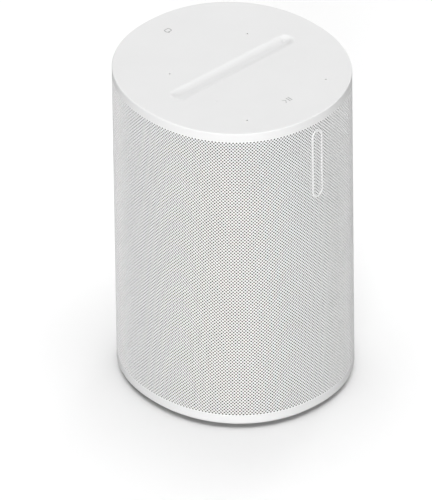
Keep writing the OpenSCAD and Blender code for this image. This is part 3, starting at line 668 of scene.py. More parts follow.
def sector_mesh(first, last):
    """The sleeve's cells whose middles lie in these columns, as one closed mesh."""
    u, v = np.meshgrid(np.arange(first, last), np.arange(ROWS + 1), indexing="ij")
    even = (u + v) % 2 == 0
    centre = np.stack([u[even], v[even]], 1)
    squares = centre[:, None] + SQUARES
    there = has_sleeve(squares[..., 0], squares[..., 1])
    full = there.all(1)

    # Lattice points in use get numbers, then the rims of the holes
    corner = centre[:, None] + CORNERS
    next_corner = np.roll(corner, -1, 1)
    used = np.concatenate([corner[there], next_corner[there], centre[there.any(1) & ~full]])
    used = np.unique(used, axis=0)
    table = np.full((last - first + 2, ROWS + 3), -1)
    table[used[:, 0] - first + 1, used[:, 1] + 1] = np.arange(len(used))

    def find(points):
        return table[points[..., 0] - first + 1, points[..., 1] + 1]

    turn = np.arange(HOLE_SIDES) * 2 * math.pi / HOLE_SIDES
    holes = centre[full]
    rim_run = (holes[:, 0, None] * COLUMN_STEP + HOLE_R * np.cos(turn)).ravel()
    rim_z = (BAND_TOP + holes[:, 1, None] * ROW_STEP + HOLE_R * np.sin(turn)).ravel()
    run = np.concatenate([used[:, 0] * COLUMN_STEP, rim_run])
    z = np.concatenate([BAND_TOP + used[:, 1] * ROW_STEP, rim_z])
    count = len(run)
    points = np.concatenate([on_sleeve(run, z, 0.0), on_sleeve(run, z, SHEET_WALL)])

    # The outer skin: three triangles in each quarter of a holed cell, one in a plain quarter
    rim = len(used) + np.arange(len(holes))[:, None] * HOLE_SIDES + np.arange(HOLE_SIDES)
    a, b = find(corner[full]), find(next_corner[full])
    start, middle, end = rim[:, 0::2], rim[:, 1::2], np.roll(rim[:, 0::2], -1, 1)
    plain = there & ~full[:, None]
    hub = np.broadcast_to(find(centre)[:, None], plain.shape)
    outer = np.concatenate([
        np.stack([a, b, middle], -1).reshape(-1, 3),
        np.stack([a, middle, start], -1).reshape(-1, 3),
        np.stack([b, end, middle], -1).reshape(-1, 3),
        np.stack([hub[plain], find(corner)[plain], find(next_corner)[plain]], -1),
    ])

    # Hole walls, and walls along every open edge of the outer skin
    following = np.roll(rim, -1, 1)
    hole_wall = np.stack([rim, following, following + count, rim + count], -1).reshape(-1, 4)
    edges = outer[:, [[0, 1], [1, 2], [2, 0]]].reshape(-1, 2)
    code = edges[:, 0] * count + edges[:, 1]
    back_code = edges[:, 1] * count + edges[:, 0]
    rim_edge = (edges >= len(used)).all(1)
    p, q = edges[~np.isin(code, back_code) & ~rim_edge].T
    open_wall = np.stack([q, p, p + count, q + count], -1)

    threes = np.concatenate([outer, outer[:, ::-1] + count])
    fours = np.concatenate([hole_wall, open_wall])
    mesh = bpy.data.meshes.new("sleeve_sector")
    mesh.vertices.add(len(points))
    mesh.vertices.foreach_set("co", points.ravel())
    mesh.loops.add(threes.size + fours.size)
    mesh.loops.foreach_set("vertex_index", np.concatenate([threes.ravel(), fours.ravel()]))
    mesh.polygons.add(len(threes) + len(fours))
    starts = np.concatenate([
        np.arange(len(threes)) * 3, threes.size + np.arange(len(fours)) * 4
    ])
    mesh.polygons.foreach_set("loop_start", starts)
    mesh.update(calc_edges=True)
    return mesh


def make_liner():
    """The acoustic cloth behind the sheet, with the same opening at the back."""
    lines = np.arange(COLUMNS + 1)
    rows = np.array([0, OPEN_ROWS[0], OPEN_ROWS[1], ROWS])
    opening = (lines[:-1] < OPEN_COLUMNS) | (lines[:-1] >= COLUMNS - OPEN_COLUMNS)
    u, v = (n.ravel() for n in np.meshgrid(lines[:-1], rows, indexing="ij"))
    z = BAND_TOP + v * ROW_STEP
    outer = on_sleeve(u * COLUMN_STEP, z, SHEET_WALL + LINER_GAP)
    inner = on_sleeve(u * COLUMN_STEP, z, SLEEVE_WALL)
    count, tall = len(u), len(rows)
    faces = []
    for k in range(COLUMNS):
        here, there = k * tall, (k + 1) % COLUMNS * tall
        for n in range(tall - 1):
            if not (n == 1 and opening[k]):
                faces.append((here + n, there + n, there + n + 1, here + n + 1))
    edges = {(f[i], f[(i + 1) % 4]) for f in faces for i in range(4)}
    walls = [(q, p, p + count, q + count) for p, q in edges if (q, p) not in edges]
    inside = [tuple(p + count for p in f[::-1]) for f in faces]
    return mesh_from("liner", np.concatenate([outer, inner]), faces + inside + sorted(walls))


piece("sleeve_liner", make_liner(), LINER_CLOTH, replaces=["grille"], sharp=50.0)

for k in range(SECTORS):
    columns = [round(n * COLUMNS / SECTORS) for n in (k, k + 1)]
    piece(f"sleeve_sector_{k + 1}", sector_mesh(*columns), GRILLE_PAINT,
          replaces=["grille"], sharp=50.0)

# ---- cap

CAP_PLATE = 3.0 * MM
CAP_RIM = 0.7 * MM
SEAM_ROUND = 0.12 * MM
TROUGH_LENGTH = 82.4 * MM
TROUGH_WIDTH = 8.4 * MM
TROUGH_DEPTH = 1.8 * MM
# How far the rounding of the trough's edge reaches each side of the edge
TROUGH_SOFT = 1.5 * MM
MIC_HOLE_R = 0.42 * MM
MIC_XY = [(s * x * MM, y * MM) for x, y in ((27.2, 17.7), (27.6, -41.4)) for s in (1, -1)]
DIMPLE_XY = [(s * 27.3 * MM, -18.0 * MM) for s in (1, -1)]
DIMPLE_R = 0.55 * MM
DIMPLE_DEPTH = 0.25 * MM
CAP_BOSS_XY = [(x * MM, y * MM) for x in (38, -38) for y in (36, -36)]
BOSS_R = 4.2 * MM
BOSS_BORE_R = 1.5 * MM
BOSS_DROP = 1.8 * MM
LIGHT_SPOT = tuple(((low("status_light_pipe") + high("status_light_pipe")) / 2)[:2])
LIGHT_R = 0.8 * MM
MIC_FLARE = 0.05 * MM
# How far the cap's screw holes stop below its top
SCREW_SKIN = 2.6 * MM


def trough_ring(radius, z):
    """A ring at a radius round the trough's spine, matched to the oval's rings point by point."""
    straight = TROUGH_LENGTH / 2 - TROUGH_WIDTH / 2
    bend = math.pi / 4 * TROUGH_WIDTH
    along = np.arange(RING // 4 + 1) / (RING // 4) * (straight + bend)
    turn = np.minimum(along / (TROUGH_WIDTH / 2), math.pi / 2)
    x = straight - np.maximum(along - bend, 0) + radius * np.cos(turn)
    y = radius * np.sin(turn)
    half_x = np.concatenate([x[:-1], -x[:0:-1]])
    half_y = np.concatenate([y[:-1], y[:0:-1]])
    return np.stack([
        np.concatenate([half_x, -half_x]), np.concatenate([half_y, -half_y]), np.full(RING, z)
    ], 1)


def trough_levels():
    """(radius, depth) from the flat top down to the spine: a round trough with a soft edge."""
    half = TROUGH_WIDTH / 2
    ball = (half ** 2 + TROUGH_DEPTH ** 2) / (2 * TROUGH_DEPTH)
    outer, inner = half + TROUGH_SOFT, half - TROUGH_SOFT
    joint = math.sqrt(ball ** 2 - inner ** 2)
    depth = joint - (ball - TROUGH_DEPTH)
    rise = inner / joint * (outer - inner)
    levels = []
    for t in np.linspace(0, 1, 12):
        ease = depth * (3 * t * t - 2 * t ** 3) + rise * (t ** 3 - t * t)
        levels.append((outer + (inner - outer) * t, ease))
    for r in np.linspace(inner, 0, 10)[1:]:
        levels.append((r, math.sqrt(ball ** 2 - r * r) - (ball - TROUGH_DEPTH)))
    return levels


def bore(name, spots, r, z0, z1, flare=0.0):
    """Cutters for round holes that open with a small chamfer at z1."""
    wide, over = r + flare, z1 + MM
    profile = [(0, z0), (r, z0), (r, z1 - flare), (wide, z1), (wide, over), (0, over)]
    return joined(name, copies(lathe(name, profile, 24), spots))


def dimples():
    """Cutters for the two shallow guide dimples."""
    ball = (DIMPLE_R ** 2 + DIMPLE_DEPTH ** 2) / (2 * DIMPLE_DEPTH)
    centre = CAP_TOP - DIMPLE_DEPTH + ball
    bowl = [(r, centre - math.sqrt(ball ** 2 - r * r)) for r in np.linspace(0, DIMPLE_R, 7)]
    profile = bowl + [(DIMPLE_R, CAP_TOP + MM), (0, CAP_TOP + MM)]
    return joined("dimples", copies(lathe("dimple", profile, 24), DIMPLE_XY))


def make_cap():
    """The cap: a flat top with a soft trough and fine holes, a rounded rim and a lip below."""
    lip_out = SLEEVE_WALL + LIP_GAP
    lip_in = lip_out + LIP_WALL
    under = CAP_TOP - CAP_PLATE
    levels = [
        (lip_in, under), (lip_in, CAP_BOTTOM - LIP_HEIGHT), (lip_out, CAP_BOTTOM - LIP_HEIGHT),
        (lip_out, CAP_BOTTOM),
    ]
    levels += fillet(CAP_BOTTOM + SEAM_ROUND, 0, CAP_BOTTOM, SEAM_ROUND, 3)[::-1]
    levels += fillet(CAP_TOP - CAP_RIM, 0, CAP_TOP, CAP_RIM, 7)
    rings = [trough_ring(0, under)]
    rings += [oval_ring(inset, z) for inset, z in levels]
    rings += [trough_ring(r, CAP_TOP - d) for r, d in trough_levels()]
    mesh = skin("cap", rings)
    post = lathe("post", rod(BOSS_R, under - BOSS_DROP, under + MM))
    mesh = combined("cap", mesh, joined("posts", copies(post, CAP_BOSS_XY)), "UNION")
    tool = joined("cap_holes", [
        bore("mics", MIC_XY, MIC_HOLE_R, under - MM, CAP_TOP, MIC_FLARE),
        bore("light", [LIGHT_SPOT], LIGHT_R, under - MM, CAP_TOP),
        dimples(),
        bore("screws", CAP_BOSS_XY, BOSS_BORE_R, under - BOSS_DROP - MM, CAP_TOP - SCREW_SKIN),
    ])
    return combined("cap", mesh, tool, "DIFFERENCE")


piece("cap", make_cap(), CAP_PLASTIC, replaces=["top_cap"], weighted=True)


# Printed marks: a play and pause sign and a speech bubble. The bars' places are in millimetres.
INK_FILM = 0.015 * MM
MARK_LINE = 0.5 * MM
PLAY_Y = -41.8 * MM
PAUSE_X = (0.75, 2.05)
SPEECH_X = -0.45 * MM
SPEECH_Y = 48.35 * MM
SPEECH_W = 3.8 * MM
SPEECH_H = 3.2 * MM
SPEECH_R = 1.25 * MM
PAUSE_HALF = 1.5
# The play sign's left end, tip and inner corner across, and half its height, in millimetres
PLAY_LEFT, PLAY_TIP, PLAY_NOTCH, PLAY_HALF = -2.27, -0.6, -1.1, 1.85


def line_mark(a, b):
    """The outline of a round-ended line between two points, in millimetres."""
    a, b = np.array(a) * MM, np.array(b) * MM
    way = math.degrees(math.atan2(*(b - a)[::-1]))
    r = MARK_LINE / 2
    return np.array(arc(*b, r, way - 90, way + 90, 6) + arc(*a, r, way + 90, way + 270, 6))


def film(name, outline, x, y, holes=()):
    """A thin printed shape on the cap's top."""
    mesh = plate(name, outline, INK_FILM * 2, INK_FILM / 2, holes, steps=1)
    mesh.transform(Matrix.Translation((x, y, CAP_TOP - INK_FILM)))
    return mesh


def speech_outline():
    """A rounded bubble with a pointed tail at its lower left."""
    r = SPEECH_R
    x, y = SPEECH_W / 2 - r, SPEECH_H / 2 - r
    corners = arc(x, -y, r, -90, 0, 8) + arc(x, y, r, 0, 90, 8) + arc(-x, y, r, 90, 180, 8)
    tail = [(-x - 0.2 * MM, -y - r - 0.65 * MM), (-x + 0.6 * MM, -y - r)]
    return np.array(corners + arc(-x, -y, r, 180, 225, 5) + tail)


def make_marks():
    """All the printed marks as one mesh."""
    shapes = [
        film("pause", line_mark((x, -PAUSE_HALF), (x, PAUSE_HALF)), 0, PLAY_Y) for x in PAUSE_X
    ]
    arm = MARK_LINE / MM / 2
    chevron = np.array([
        (PLAY_LEFT, arm - PLAY_HALF), (PLAY_LEFT + arm, -PLAY_HALF), (PLAY_TIP, 0.0),
        (PLAY_LEFT + arm, PLAY_HALF), (PLAY_LEFT, PLAY_HALF - arm), (PLAY_NOTCH, 0.0),
    ]) * MM
    shapes.append(film("play", chevron, 0, PLAY_Y))
    inside = rounded_box(SPEECH_W - 2 * MARK_LINE, SPEECH_H - 2 * MARK_LINE, SPEECH_R - MARK_LINE)
    shapes.append(film("speech", speech_outline(), SPEECH_X, SPEECH_Y, [inside]))
    return joined("marks", shapes)


piece("printed_marks", make_marks(), INK)

# ---- base band and foot

TRAY_FLOOR = 2.5 * MM
EDGE_INSET = 1.5 * MM
EDGE_ROUND = 2.0 * MM
FOOT_OUTER = 8.0 * MM
FOOT_INNER = 24.0 * MM
FOOT_SINK = 0.6 * MM
FOOT_EDGE = 0.5 * MM
GROOVE_DEPTH = 0.4 * MM
GROOVE_TOP = 0.6 * MM
BASE_SCREW_XY = [(x * MM, y * MM) for x, y in ((33, -30), (-33, -30), (36, 20), (-36, 20))]
SCREW_HEAD_R, SCREW_HEAD_H = 3.0 * MM, 2.2 * MM
SCREW_SHANK_R = 1.7 * MM
INSERT_R = 4.5 * MM
INSERT_WALL = 2.5 * MM


def make_tray():
    """The base band, its floor with a groove for the foot, and the lip inside the sleeve."""
    lip_out = SLEEVE_WALL + LIP_GAP
    lip_in = lip_out + LIP_WALL
    floor = BASE_BOTTOM + TRAY_FLOOR
    levels = [
        (FOOT_INNER, BASE_BOTTOM), (FOOT_INNER, BASE_BOTTOM + FOOT_SINK),
        (FOOT_OUTER, BASE_BOTTOM + FOOT_SINK), (FOOT_OUTER, BASE_BOTTOM),
    ]
    levels += fillet(BASE_BOTTOM + EDGE_ROUND, 0, BASE_BOTTOM, EDGE_INSET, 8)[::-1]
    levels += fillet(BAND_TOP - SEAM_ROUND, 0, BAND_TOP, SEAM_ROUND, 3)
    levels += [
        (lip_out, BAND_TOP), (lip_out, BAND_TOP + LIP_HEIGHT), (lip_in, BAND_TOP + LIP_HEIGHT),
        (lip_in, floor),
    ]
    rings = [oval_ring(inset, z) for inset, z in levels]
    mesh = skin("tray", [point_ring(BASE_BOTTOM)] + rings + [point_ring(floor)])
    top = low("enclosure_front").z
    posts = copies(lathe("post", rod(BOSS_R, floor - MM, top)), BASE_SCREW_XY)
    posts.append(lathe("post", rod(INSERT_R + INSERT_WALL, floor - MM, high("stand_insert").z)))
    mesh = combined("tray", mesh, joined("posts", posts), "UNION")
    head = low("base_screws").z
    tool = joined("tray_holes", [
        bore("heads", BASE_SCREW_XY, SCREW_HEAD_R, -MM, head + SCREW_HEAD_H),
        bore("shanks", BASE_SCREW_XY, SCREW_SHANK_R, 0, top + MM),
        bore("insert", [(0, 0)], INSERT_R, -MM, top),
    ])
    return combined("tray", mesh, tool, "DIFFERENCE")


def make_foot():
    """A rubber ring with rounded edges and two shallow grooves in its tread."""
    top = high("base_foot").z
    levels = [(FOOT_INNER, top), (FOOT_INNER, FOOT_EDGE), (FOOT_INNER - FOOT_EDGE, 0)]
    for share in (0.36, 0.68):
        middle = FOOT_INNER + (FOOT_OUTER - FOOT_INNER) * share
        levels += [
            (middle + MM, 0), (middle + GROOVE_TOP, GROOVE_DEPTH),
            (middle - GROOVE_TOP, GROOVE_DEPTH), (middle - MM, 0),
        ]
    levels += [(FOOT_OUTER + FOOT_EDGE, 0), (FOOT_OUTER, FOOT_EDGE), (FOOT_OUTER, top)]
    return skin("foot", [oval_ring(inset, z) for inset, z in levels], wrap=True)


piece("base_band", make_tray(), SHELL_PLASTIC,
      replaces=["base_tray"], weighted=True)
piece("foot_ring", make_foot(), FOOT_RUBBER, replaces=["base_foot"])

# ---- badge

BADGE_LINE = 1.1 * MM
BADGE_PROUD = 0.3 * MM
BADGE_EDGE = 0.18 * MM


def make_badge():
    """A raised oblong ring that follows the front of the sleeve."""
    first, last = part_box("front_badge")
    w, h = last.x - first.x, last.z - first.z
    middle_x, middle_height = (first.x + last.x) / 2, (first.z + last.z) / 2
    outer = rounded_box(w, h, w / 2, steps=20)
    inner = rounded_box(w - 2 * BADGE_LINE, h - 2 * BADGE_LINE, w / 2 - BADGE_LINE, steps=20)
    mesh = plate("badge", outer, BADGE_PROUD * 1.5, BADGE_EDGE, [inner], steps=4)
    cut_across(mesh, -w / 2, w / 2, 12)

    def on_front(p):
        x = middle_x + p[:, 0]
        y = BADGE_PROUD * 0.5 - oval_depth(x) - p[:, 2]
        return np.stack([x, y, middle_height + p[:, 1]], 1)

    return reshape(mesh, on_front)


piece("badge", make_badge(), BADGE_PLASTIC,
      replaces=["front_badge"], weighted=True)

# ---- rear panel and its ports


def middle_z(node):
    """The height of a CAD node's middle."""
    return (low(node).z + high(node).z) / 2


def size_xz(node):
    """A CAD node's width and height."""
    size = high(node) - low(node)
    return size.x, size.z


PANEL_INSET = 0.6 * MM
PANEL_T = 2.0 * MM
PANEL_CORNER = 1.2 * MM
SOFT_EDGE = 0.3 * MM
# Posts behind the panel that hold its board: how far out, and how far in from the board's ends
POST_X = 11 * MM
POST_MARGIN = 4 * MM
POST_R, POST_BORE_R = 2.6 * MM, 1.2 * MM
# How far a post runs into the panel
POST_SINK = 0.3 * MM
BOARD_T = 1.6 * MM
# Gaps round each thing in the panel's openings, and the corners of these openings
INLET_GAP, INLET_OPENING_R = 0.15 * MM, 0.6 * MM
PORT_GAP = 0.25 * MM
BUTTON_GAP = 0.2 * MM
KNOB_GAP_X, KNOB_GAP_Z, KNOB_OPENING_R = 0.3 * MM, 0.4 * MM, 0.8 * MM
BUTTON_BODY = "pairing_button"
BUTTON_Z = middle_z(BUTTON_BODY)
BUTTON_R = 4.2 * MM
KNOB_BODY = "mic_switch_slider"
KNOB_Z = middle_z(KNOB_BODY)
KNOB_HALF_W = 1.9 * MM
KNOB_H = 4.4 * MM
KNOB_TRAVEL = 3.5 * MM


def panel_back(x):
    """Where the inner face of the panel lies in Y at a place across it."""
    return float(oval_depth(np.array(x), PANEL_INSET)) - PANEL_T


def make_panel():
    """The curved panel with openings for the inlet, the port, the button and the switch."""
    w, h = size_xz("rear_panel")
    z = middle_z("rear_panel")
    inlet_w, inlet_h = size_xz("power_inlet")
    port_w, port_h = size_xz("usb_c_port")
    port_w, port_h = port_w + 2 * PORT_GAP, port_h + 2 * PORT_GAP
    slot_w, slot_h = 2 * (KNOB_HALF_W + KNOB_GAP_X), KNOB_H + KNOB_TRAVEL + 2 * KNOB_GAP_Z
    inlet_w, inlet_h = inlet_w + 2 * INLET_GAP, inlet_h + 2 * INLET_GAP
    holes = [
        rounded_box(inlet_w, inlet_h, INLET_OPENING_R, 0, middle_z("power_inlet") - z),
        rounded_box(port_w, port_h, port_h / 2, 0, middle_z("usb_c_port") - z, 12),
        circle(BUTTON_R + BUTTON_GAP, 0, BUTTON_Z - z, 64),
        rounded_box(slot_w, slot_h, KNOB_OPENING_R, 0, KNOB_Z + KNOB_TRAVEL / 2 - z),
    ]
    mesh = plate("panel", rounded_box(w, h, PANEL_CORNER), PANEL_T, SOFT_EDGE, holes, steps=4)
    cut_across(mesh, -w / 2, w / 2, 40)

    def on_back(p):
        y = oval_depth(p[:, 0], PANEL_INSET) - PANEL_T + p[:, 2]
        return np.stack([-p[:, 0], y, z + p[:, 1]], 1)

    shell = reshape(mesh, on_back)
    foot = low("io_board").y + BOARD_T
    tall = panel_back(POST_X) + POST_SINK - foot
    profile = [(POST_BORE_R, 0), (POST_R, 0), (POST_R, tall), (POST_BORE_R, tall)]
    post = facing_back(lathe("post", profile, 32, True), 0, foot)
    heights = (low("io_board").z + POST_MARGIN, high("io_board").z - POST_MARGIN)
    posts = copies(post, [(x, 0, post_z) for x in (POST_X, -POST_X) for post_z in heights])
    return joined("panel", [shell] + posts)


piece("connection_panel", make_panel(), SHELL_PLASTIC,
      replaces=["rear_panel"], weighted=True)

INLET_R = 0.5 * MM
INLET_EDGE = 0.35 * MM
RECESS_W, RECESS_H, RECESS_DEPTH = 16.9 * MM, 8.3 * MM, 11.0 * MM
PIN_R = 1.18 * MM
PIN_STEP = 0.2 * MM
PIN_DOME_H, PIN_DOME_R = 0.9 * MM, 0.95 * MM
PORT_WALL = 0.3 * MM
PORT_FLOOR = 1.2 * MM
PORT_EDGE, PORT_BACK_EDGE = 0.08 * MM, 0.1 * MM
TONGUE_W, TONGUE_H, TONGUE_LENGTH = 6.6 * MM, 0.7 * MM, 5.0 * MM
TONGUE_R, TONGUE_EDGE = 0.15 * MM, 0.1 * MM
TONGUE_START = 1.0 * MM
CONTACTS = 12
CONTACT_PITCH = 0.5 * MM
CONTACT_W, CONTACT_H, CONTACT_LENGTH = 0.25 * MM, 0.06 * MM, 3.6 * MM
CONTACT_R = 0.02 * MM
CONTACT_START = 2.2 * MM


def make_inlet():
    """The mains inlet's housing with its round-ended recess."""
    first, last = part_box("power_inlet")
    thick = last.y - first.y
    outer = rounded_box(*size_xz("power_inlet"), INLET_R)
    recess = rounded_box(RECESS_W, RECESS_H, RECESS_H / 2, steps=16)
    floors = [thick - RECESS_DEPTH]
    mesh = plate("inlet", outer, thick, INLET_EDGE, [recess], floors, SOFT_EDGE, 4)
    return facing_back(mesh, middle_z("power_inlet"), first.y)


def make_pins():
    """Two round pins with domed ends and a step at their root."""
    first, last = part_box("inlet_pins")
    length = last.y - first.y
    dome = fillet(length - PIN_DOME_H, 0, length, PIN_DOME_R, 8)
    profile = [(0, 0), (PIN_R - PIN_STEP, 0), (PIN_R, PIN_STEP)]
    profile += [(PIN_R - inset, z) for inset, z in dome] + [(0, length)]
    pin = facing_back(lathe("pin", profile, 32), middle_z("inlet_pins"), first.y)
    return joined("pins", copies(pin, [(first.x + PIN_R, 0), (last.x - PIN_R, 0)]))


def make_port():
    """The line-in port: a drawn shell, and the tongue inside it."""
    first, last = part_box("usb_c_port")
    w, h = size_xz("usb_c_port")
    z = middle_z("usb_c_port")
    mouth_h = h - 2 * PORT_WALL
    outer = rounded_box(w, h, h / 2, steps=12)
    mouth = rounded_box(w - 2 * PORT_WALL, mouth_h, mouth_h / 2, steps=12)
    shell = plate(
        "shell", outer, last.y - first.y, PORT_EDGE, [mouth], [PORT_FLOOR], PORT_BACK_EDGE
    )
    blade = rounded_box(TONGUE_W, TONGUE_H, TONGUE_R)
    tongue = plate("tongue", blade, TONGUE_LENGTH, TONGUE_EDGE)
    return facing_back(shell, z, first.y), facing_back(tongue, z, first.y + TONGUE_START)


def make_contacts():
    """A row of gold contacts on each face of the port's tongue."""
    outline = rounded_box(CONTACT_W, CONTACT_H, CONTACT_R, steps=2)
    bar = plate("contact", outline, CONTACT_LENGTH, CONTACT_R, steps=1)
    facing_back(bar, 0, low("usb_c_port").y + CONTACT_START)
    z = middle_z("usb_c_port")
    places = [
        ((k - (CONTACTS - 1) / 2) * CONTACT_PITCH, 0, z + side * TONGUE_H / 2)
        for k in range(CONTACTS) for side in (-1, 1)
    ]
    return joined("contacts", copies(bar, places))


piece("inlet_housing", make_inlet(), INLET_PLASTIC,
      replaces=["power_inlet"], weighted=True)
piece("inlet_contact_pins", make_pins(), PIN_BRASS, replaces=["inlet_pins"])
port_shell, port_tongue = make_port()
piece("port_shell", port_shell, PORT_STEEL,
      replaces=["usb_c_port"], weighted=True)
piece("port_tongue", port_tongue, INLET_PLASTIC,
      replaces=["usb_c_port"], weighted=True)
piece("port_contacts", make_contacts(), PIN_BRASS)

# ---- moving controls

BUTTON_EDGE = 0.45 * MM
DISH_MARGIN, DISH_DEPTH = 0.8 * MM, 0.28 * MM
FLANGE_T, FLANGE_WIDER, FLANGE_GAP = 1.2 * MM, 1.0 * MM, 0.4 * MM
STEM_R, STEM_EDGE = 1.5 * MM, 0.2 * MM
SLIDE_W, SLIDE_H, SLIDE_T, SLIDE_R = 6.4 * MM, 6.0 * MM, 1.2 * MM, 0.5 * MM
SLIDE_EDGE, SLIDE_BACK_EDGE = 0.15 * MM, 0.1 * MM
# How far the knob's root sinks into the plate it slides on
KNOB_SINK = 0.1 * MM
KNOB_EDGE = 0.12 * MM
RIBS = 3
RIB_PITCH, RIB_DEPTH = 1.4 * MM, 0.5 * MM


def make_button():
    """A round button: a dished face with a soft edge, a flange behind it and a stem."""
    first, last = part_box(BUTTON_BODY)
    face = last.y - first.y
    flange_front = panel_back(0.0) - FLANGE_GAP - first.y
    flange_back = flange_front - FLANGE_T
    flange_r = BUTTON_R + FLANGE_WIDER
    edge = fillet(face - BUTTON_EDGE, 0, face, BUTTON_EDGE, 7)
    dish = BUTTON_R - DISH_MARGIN
    profile = [(0, 0), (STEM_R - STEM_EDGE, 0), (STEM_R, STEM_EDGE), (STEM_R, flange_back)]
    profile += [(flange_r, flange_back), (flange_r, flange_front), (BUTTON_R, flange_front)]
    profile += [(BUTTON_R - inset, z) for inset, z in edge]
    profile += [(dish * s, face - DISH_DEPTH * (1 - s * s)) for s in np.linspace(1, 0, 10)]
    return facing_back(lathe("button", profile, 72), BUTTON_Z, first.y)


def make_slider():
    """The microphone switch's knob, with rounded ribs, on its sliding plate."""
    first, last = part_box(KNOB_BODY)
    outline = rounded_box(SLIDE_W, SLIDE_H, SLIDE_R)
    base = plate("base", outline, SLIDE_T, SLIDE_EDGE, back_edge=SLIDE_BACK_EDGE)
    facing_back(base, KNOB_Z, first.y)
    root = SLIDE_T - KNOB_SINK
    tall = last.y - first.y - root
    ribbed = RIBS * RIB_PITCH / 2
    side = [(-KNOB_H / 2, 0), (KNOB_H / 2, 0), (KNOB_H / 2, tall - RIB_DEPTH)]
    for z in np.linspace(ribbed, -ribbed, 16 * RIBS + 1):
        dip = 0.5 - 0.5 * math.cos(2 * math.pi * z / RIB_PITCH)
        side.append((z, tall - RIB_DEPTH * dip))
    side.append((-KNOB_H / 2, tall - RIB_DEPTH))
    knob = plate("knob", np.array(side), 2 * KNOB_HALF_W, KNOB_EDGE, back_edge=KNOB_EDGE)
    knob.transform(Matrix((
        (0, 0, 1, -KNOB_HALF_W), (0, 1, 0, first.y + root), (-1, 0, 0, KNOB_Z), (0, 0, 0, 1)
    )))
    return joined("slider", [base, knob])


piece("pairing_button_face", make_button(), BUTTON_PLASTIC,
      BUTTON_BODY, [BUTTON_BODY], weighted=True)
piece("microphone_slider", make_slider(), BUTTON_PLASTIC,
      KNOB_BODY, [KNOB_BODY], weighted=True)

# ---- works inside

CARRIED = {
    "insert_brass": (BRASS, ["stand_insert"]),
    "screw_steel": (SCREW_STEEL, [
        "base_screws", "top_screws", "enclosure_screws", "woofer_screws", "tweeter_screws",
        "board_screws",
    ]),
    "circuit_board": (BOARD, ["touch_board", "main_board", "power_board", "io_board"]),
    "gasket_rubber": (GASKET_RUBBER, ["mic_gaskets", "enclosure_gasket", "woofer_gasket"]),
    "shield_steel": (SHIELD_STEEL, ["mic_modules", "main_shield_can"]),
    "light_pipe": (LIGHT_PIPE, ["status_light_pipe"]),
    "led_body": (LED_BODY, ["status_led"]),
    "inner_plastic": (DARK_PLASTIC, [
        "top_frame", "enclosure_front", "enclosure_rear", "tweeter_left_waveguide",
        "tweeter_right_waveguide", "button_switch", "mic_switch_body",
    ]),
    "flat_cable": (FLAT_CABLE, ["touch_flat_cable"]),
    "basket_plastic": (BASKET_PLASTIC, ["woofer_frame"]),
    "surround_rubber": (SURROUND_RUBBER, [
        "woofer_surround", "tweeter_left_surround", "tweeter_right_surround",
    ]),
    "cone_paper": (CONE_PAPER, ["woofer_cone", "woofer_dust_cap"]),
    "copper_wire": (COPPER, ["woofer_voice_coil"]),
    "spider_cloth": (SPIDER_CLOTH, ["woofer_spider"]),
    "motor_steel": (MOTOR_STEEL, [
        "woofer_top_plate", "woofer_yoke", "tweeter_left_motor", "tweeter_right_motor",
    ]),
    "magnet_ferrite": (FERRITE, ["woofer_magnet"]),
    "dome_silk": (DOME_SILK, ["tweeter_left_dome", "tweeter_right_dome"]),
    "lead_sleeve": (LEAD_SLEEVE, ["speaker_leads", "power_lead"]),
    "heat_sink_aluminium": (HEAT_SINK, ["amplifier_heat_sink"]),
    "antenna_board": (ANTENNA, ["radio_antennas"]),
    "transformer_tape": (TRANSFORMER, ["power_transformer"]),
    "capacitor_sleeve": (CAPACITOR, ["power_capacitor"]),
}
BEVELLED = {
    "stand_insert", "base_screws", "top_screws", "enclosure_screws", "woofer_screws",
    "tweeter_screws", "board_screws", "mic_modules", "main_shield_can", "status_led",
    "amplifier_heat_sink", "woofer_top_plate", "woofer_magnet", "woofer_yoke",
    "power_transformer", "power_capacitor", "button_switch", "mic_switch_body",
}

BEVEL_WIDTH = 0.12 * MM
BEVEL_ANGLE = math.radians(40)

for slot_name, (material, nodes) in CARRIED.items():
    for node in nodes:
        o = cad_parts[node]
        dress(o.data, material)
        if node in BEVELLED:
            bevel = o.modifiers.new("edges", "BEVEL")
            bevel.width = BEVEL_WIDTH
            bevel.segments = 2
            bevel.limit_method = "ANGLE"
            bevel.angle_limit = BEVEL_ANGLE

# ---- floor, light and camera

VIEW_AZIMUTH = math.radians(-42.19)
VIEW_ELEVATION = math.radians(34.16)
VIEW_ROLL = math.radians(-0.77)
VIEW_DISTANCE = 8.132
VIEW_LENS = 1129.3
# The point that the camera looks at, right of and above the middle of the body as it sees them
AIM_HEIGHT = 0.09125
AIM_RIGHT = -9.44 * MM
AIM_UP = -17.52 * MM
FLOOR_SIZE = 60.0
# The floor's grey as the camera sees it, and the darker grey that it gives back as light
FLOOR_GREY = grey(0.99)
FLOOR_BOUNCE = grey(0.6)


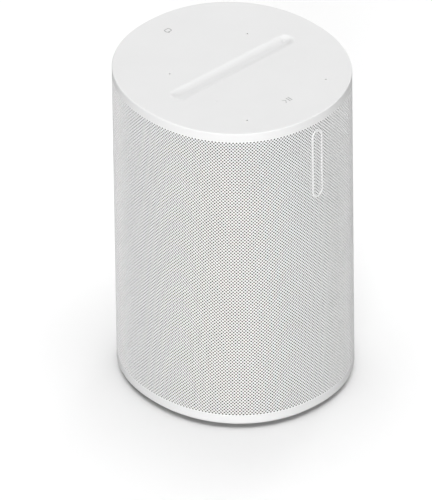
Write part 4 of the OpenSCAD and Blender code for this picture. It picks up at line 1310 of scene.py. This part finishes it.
def make_camera():
    """A long lens from the front left, above the top."""
    ca, sa = math.cos(VIEW_AZIMUTH), math.sin(VIEW_AZIMUTH)
    ce, se = math.cos(VIEW_ELEVATION), math.sin(VIEW_ELEVATION)
    back = Vector((sa * ce, -ca * ce, se))
    right = Vector((ca, sa, 0))
    up = back.cross(right)
    aim = Vector((0, 0, AIM_HEIGHT)) + right * AIM_RIGHT + up * AIM_UP
    place = aim + back * VIEW_DISTANCE
    cr, sr = math.cos(VIEW_ROLL), math.sin(VIEW_ROLL)
    axes = (right * cr + up * sr, up * cr - right * sr, back)
    camera = added("camera", bpy.data.cameras.new("camera"))
    camera.data.lens = VIEW_LENS
    camera.data.sensor_width = 36.0
    camera.data.clip_start, camera.data.clip_end = 1.0, 60.0
    camera.matrix_world = Matrix.Translation(place) @ Matrix(axes).transposed().to_4x4()
    bpy.context.scene.camera = camera


def soft_light(name, azimuth, elevation, spread, strength):
    """Even light from a wide patch of sky round a direction, all in degrees."""
    data = bpy.data.lights.new(name, "SUN")
    data.energy = strength
    data.angle = math.radians(spread)
    light = added(name, data)
    a, e = math.radians(azimuth), math.radians(elevation)
    toward = Vector((math.sin(a) * math.cos(e), -math.cos(a) * math.cos(e), math.sin(e)))
    light.rotation_mode = "QUATERNION"
    light.rotation_quaternion = toward.to_track_quat("Z", "Y")


def make_floor():
    """A wide pale floor that gives back less light than it shows."""
    corners = [(x * FLOOR_SIZE, y * FLOOR_SIZE, 0) for x, y in ((-1, -1), (1, -1), (1, 1), (-1, 1))]
    floor = added("floor", mesh_from("floor", corners, [(0, 1, 2, 3)]))
    f = Finish("pale_floor")
    seen = f.add("ShaderNodeLightPath").outputs["Is Camera Ray"]
    f.set(Base_Color=f.blend(seen, FLOOR_BOUNCE, FLOOR_GREY), Roughness=0.9, Specular_IOR_Level=0.0)
    floor.data.materials.append(f.material)


def make_world():
    """A white backdrop that gives no light of its own."""
    world = bpy.data.worlds.new("studio")
    bpy.context.scene.world = world
    world.use_nodes = True
    tree = world.node_tree
    seen = tree.nodes.new("ShaderNodeLightPath").outputs["Is Camera Ray"]
    tree.links.new(seen, tree.nodes["Background"].inputs["Strength"])
    tree.nodes["Background"].inputs["Color"].default_value = (*grey(1.0), 1.0)


make_camera()
make_floor()
make_world()
soft_light("overhead", 0.0, 89.0, 60.0, 2.56)
soft_light("front", -48.0, 4.0, 20.0, 3.45)
soft_light("behind", 138.0, 50.0, 60.0, 0.5)
soft_light("rear_right", 112.0, 4.0, 20.0, 1.3)
soft_light("rear_left", 163.0, 4.0, 20.0, 0.3)
bpy.context.scene.view_settings.view_transform = "Standard"
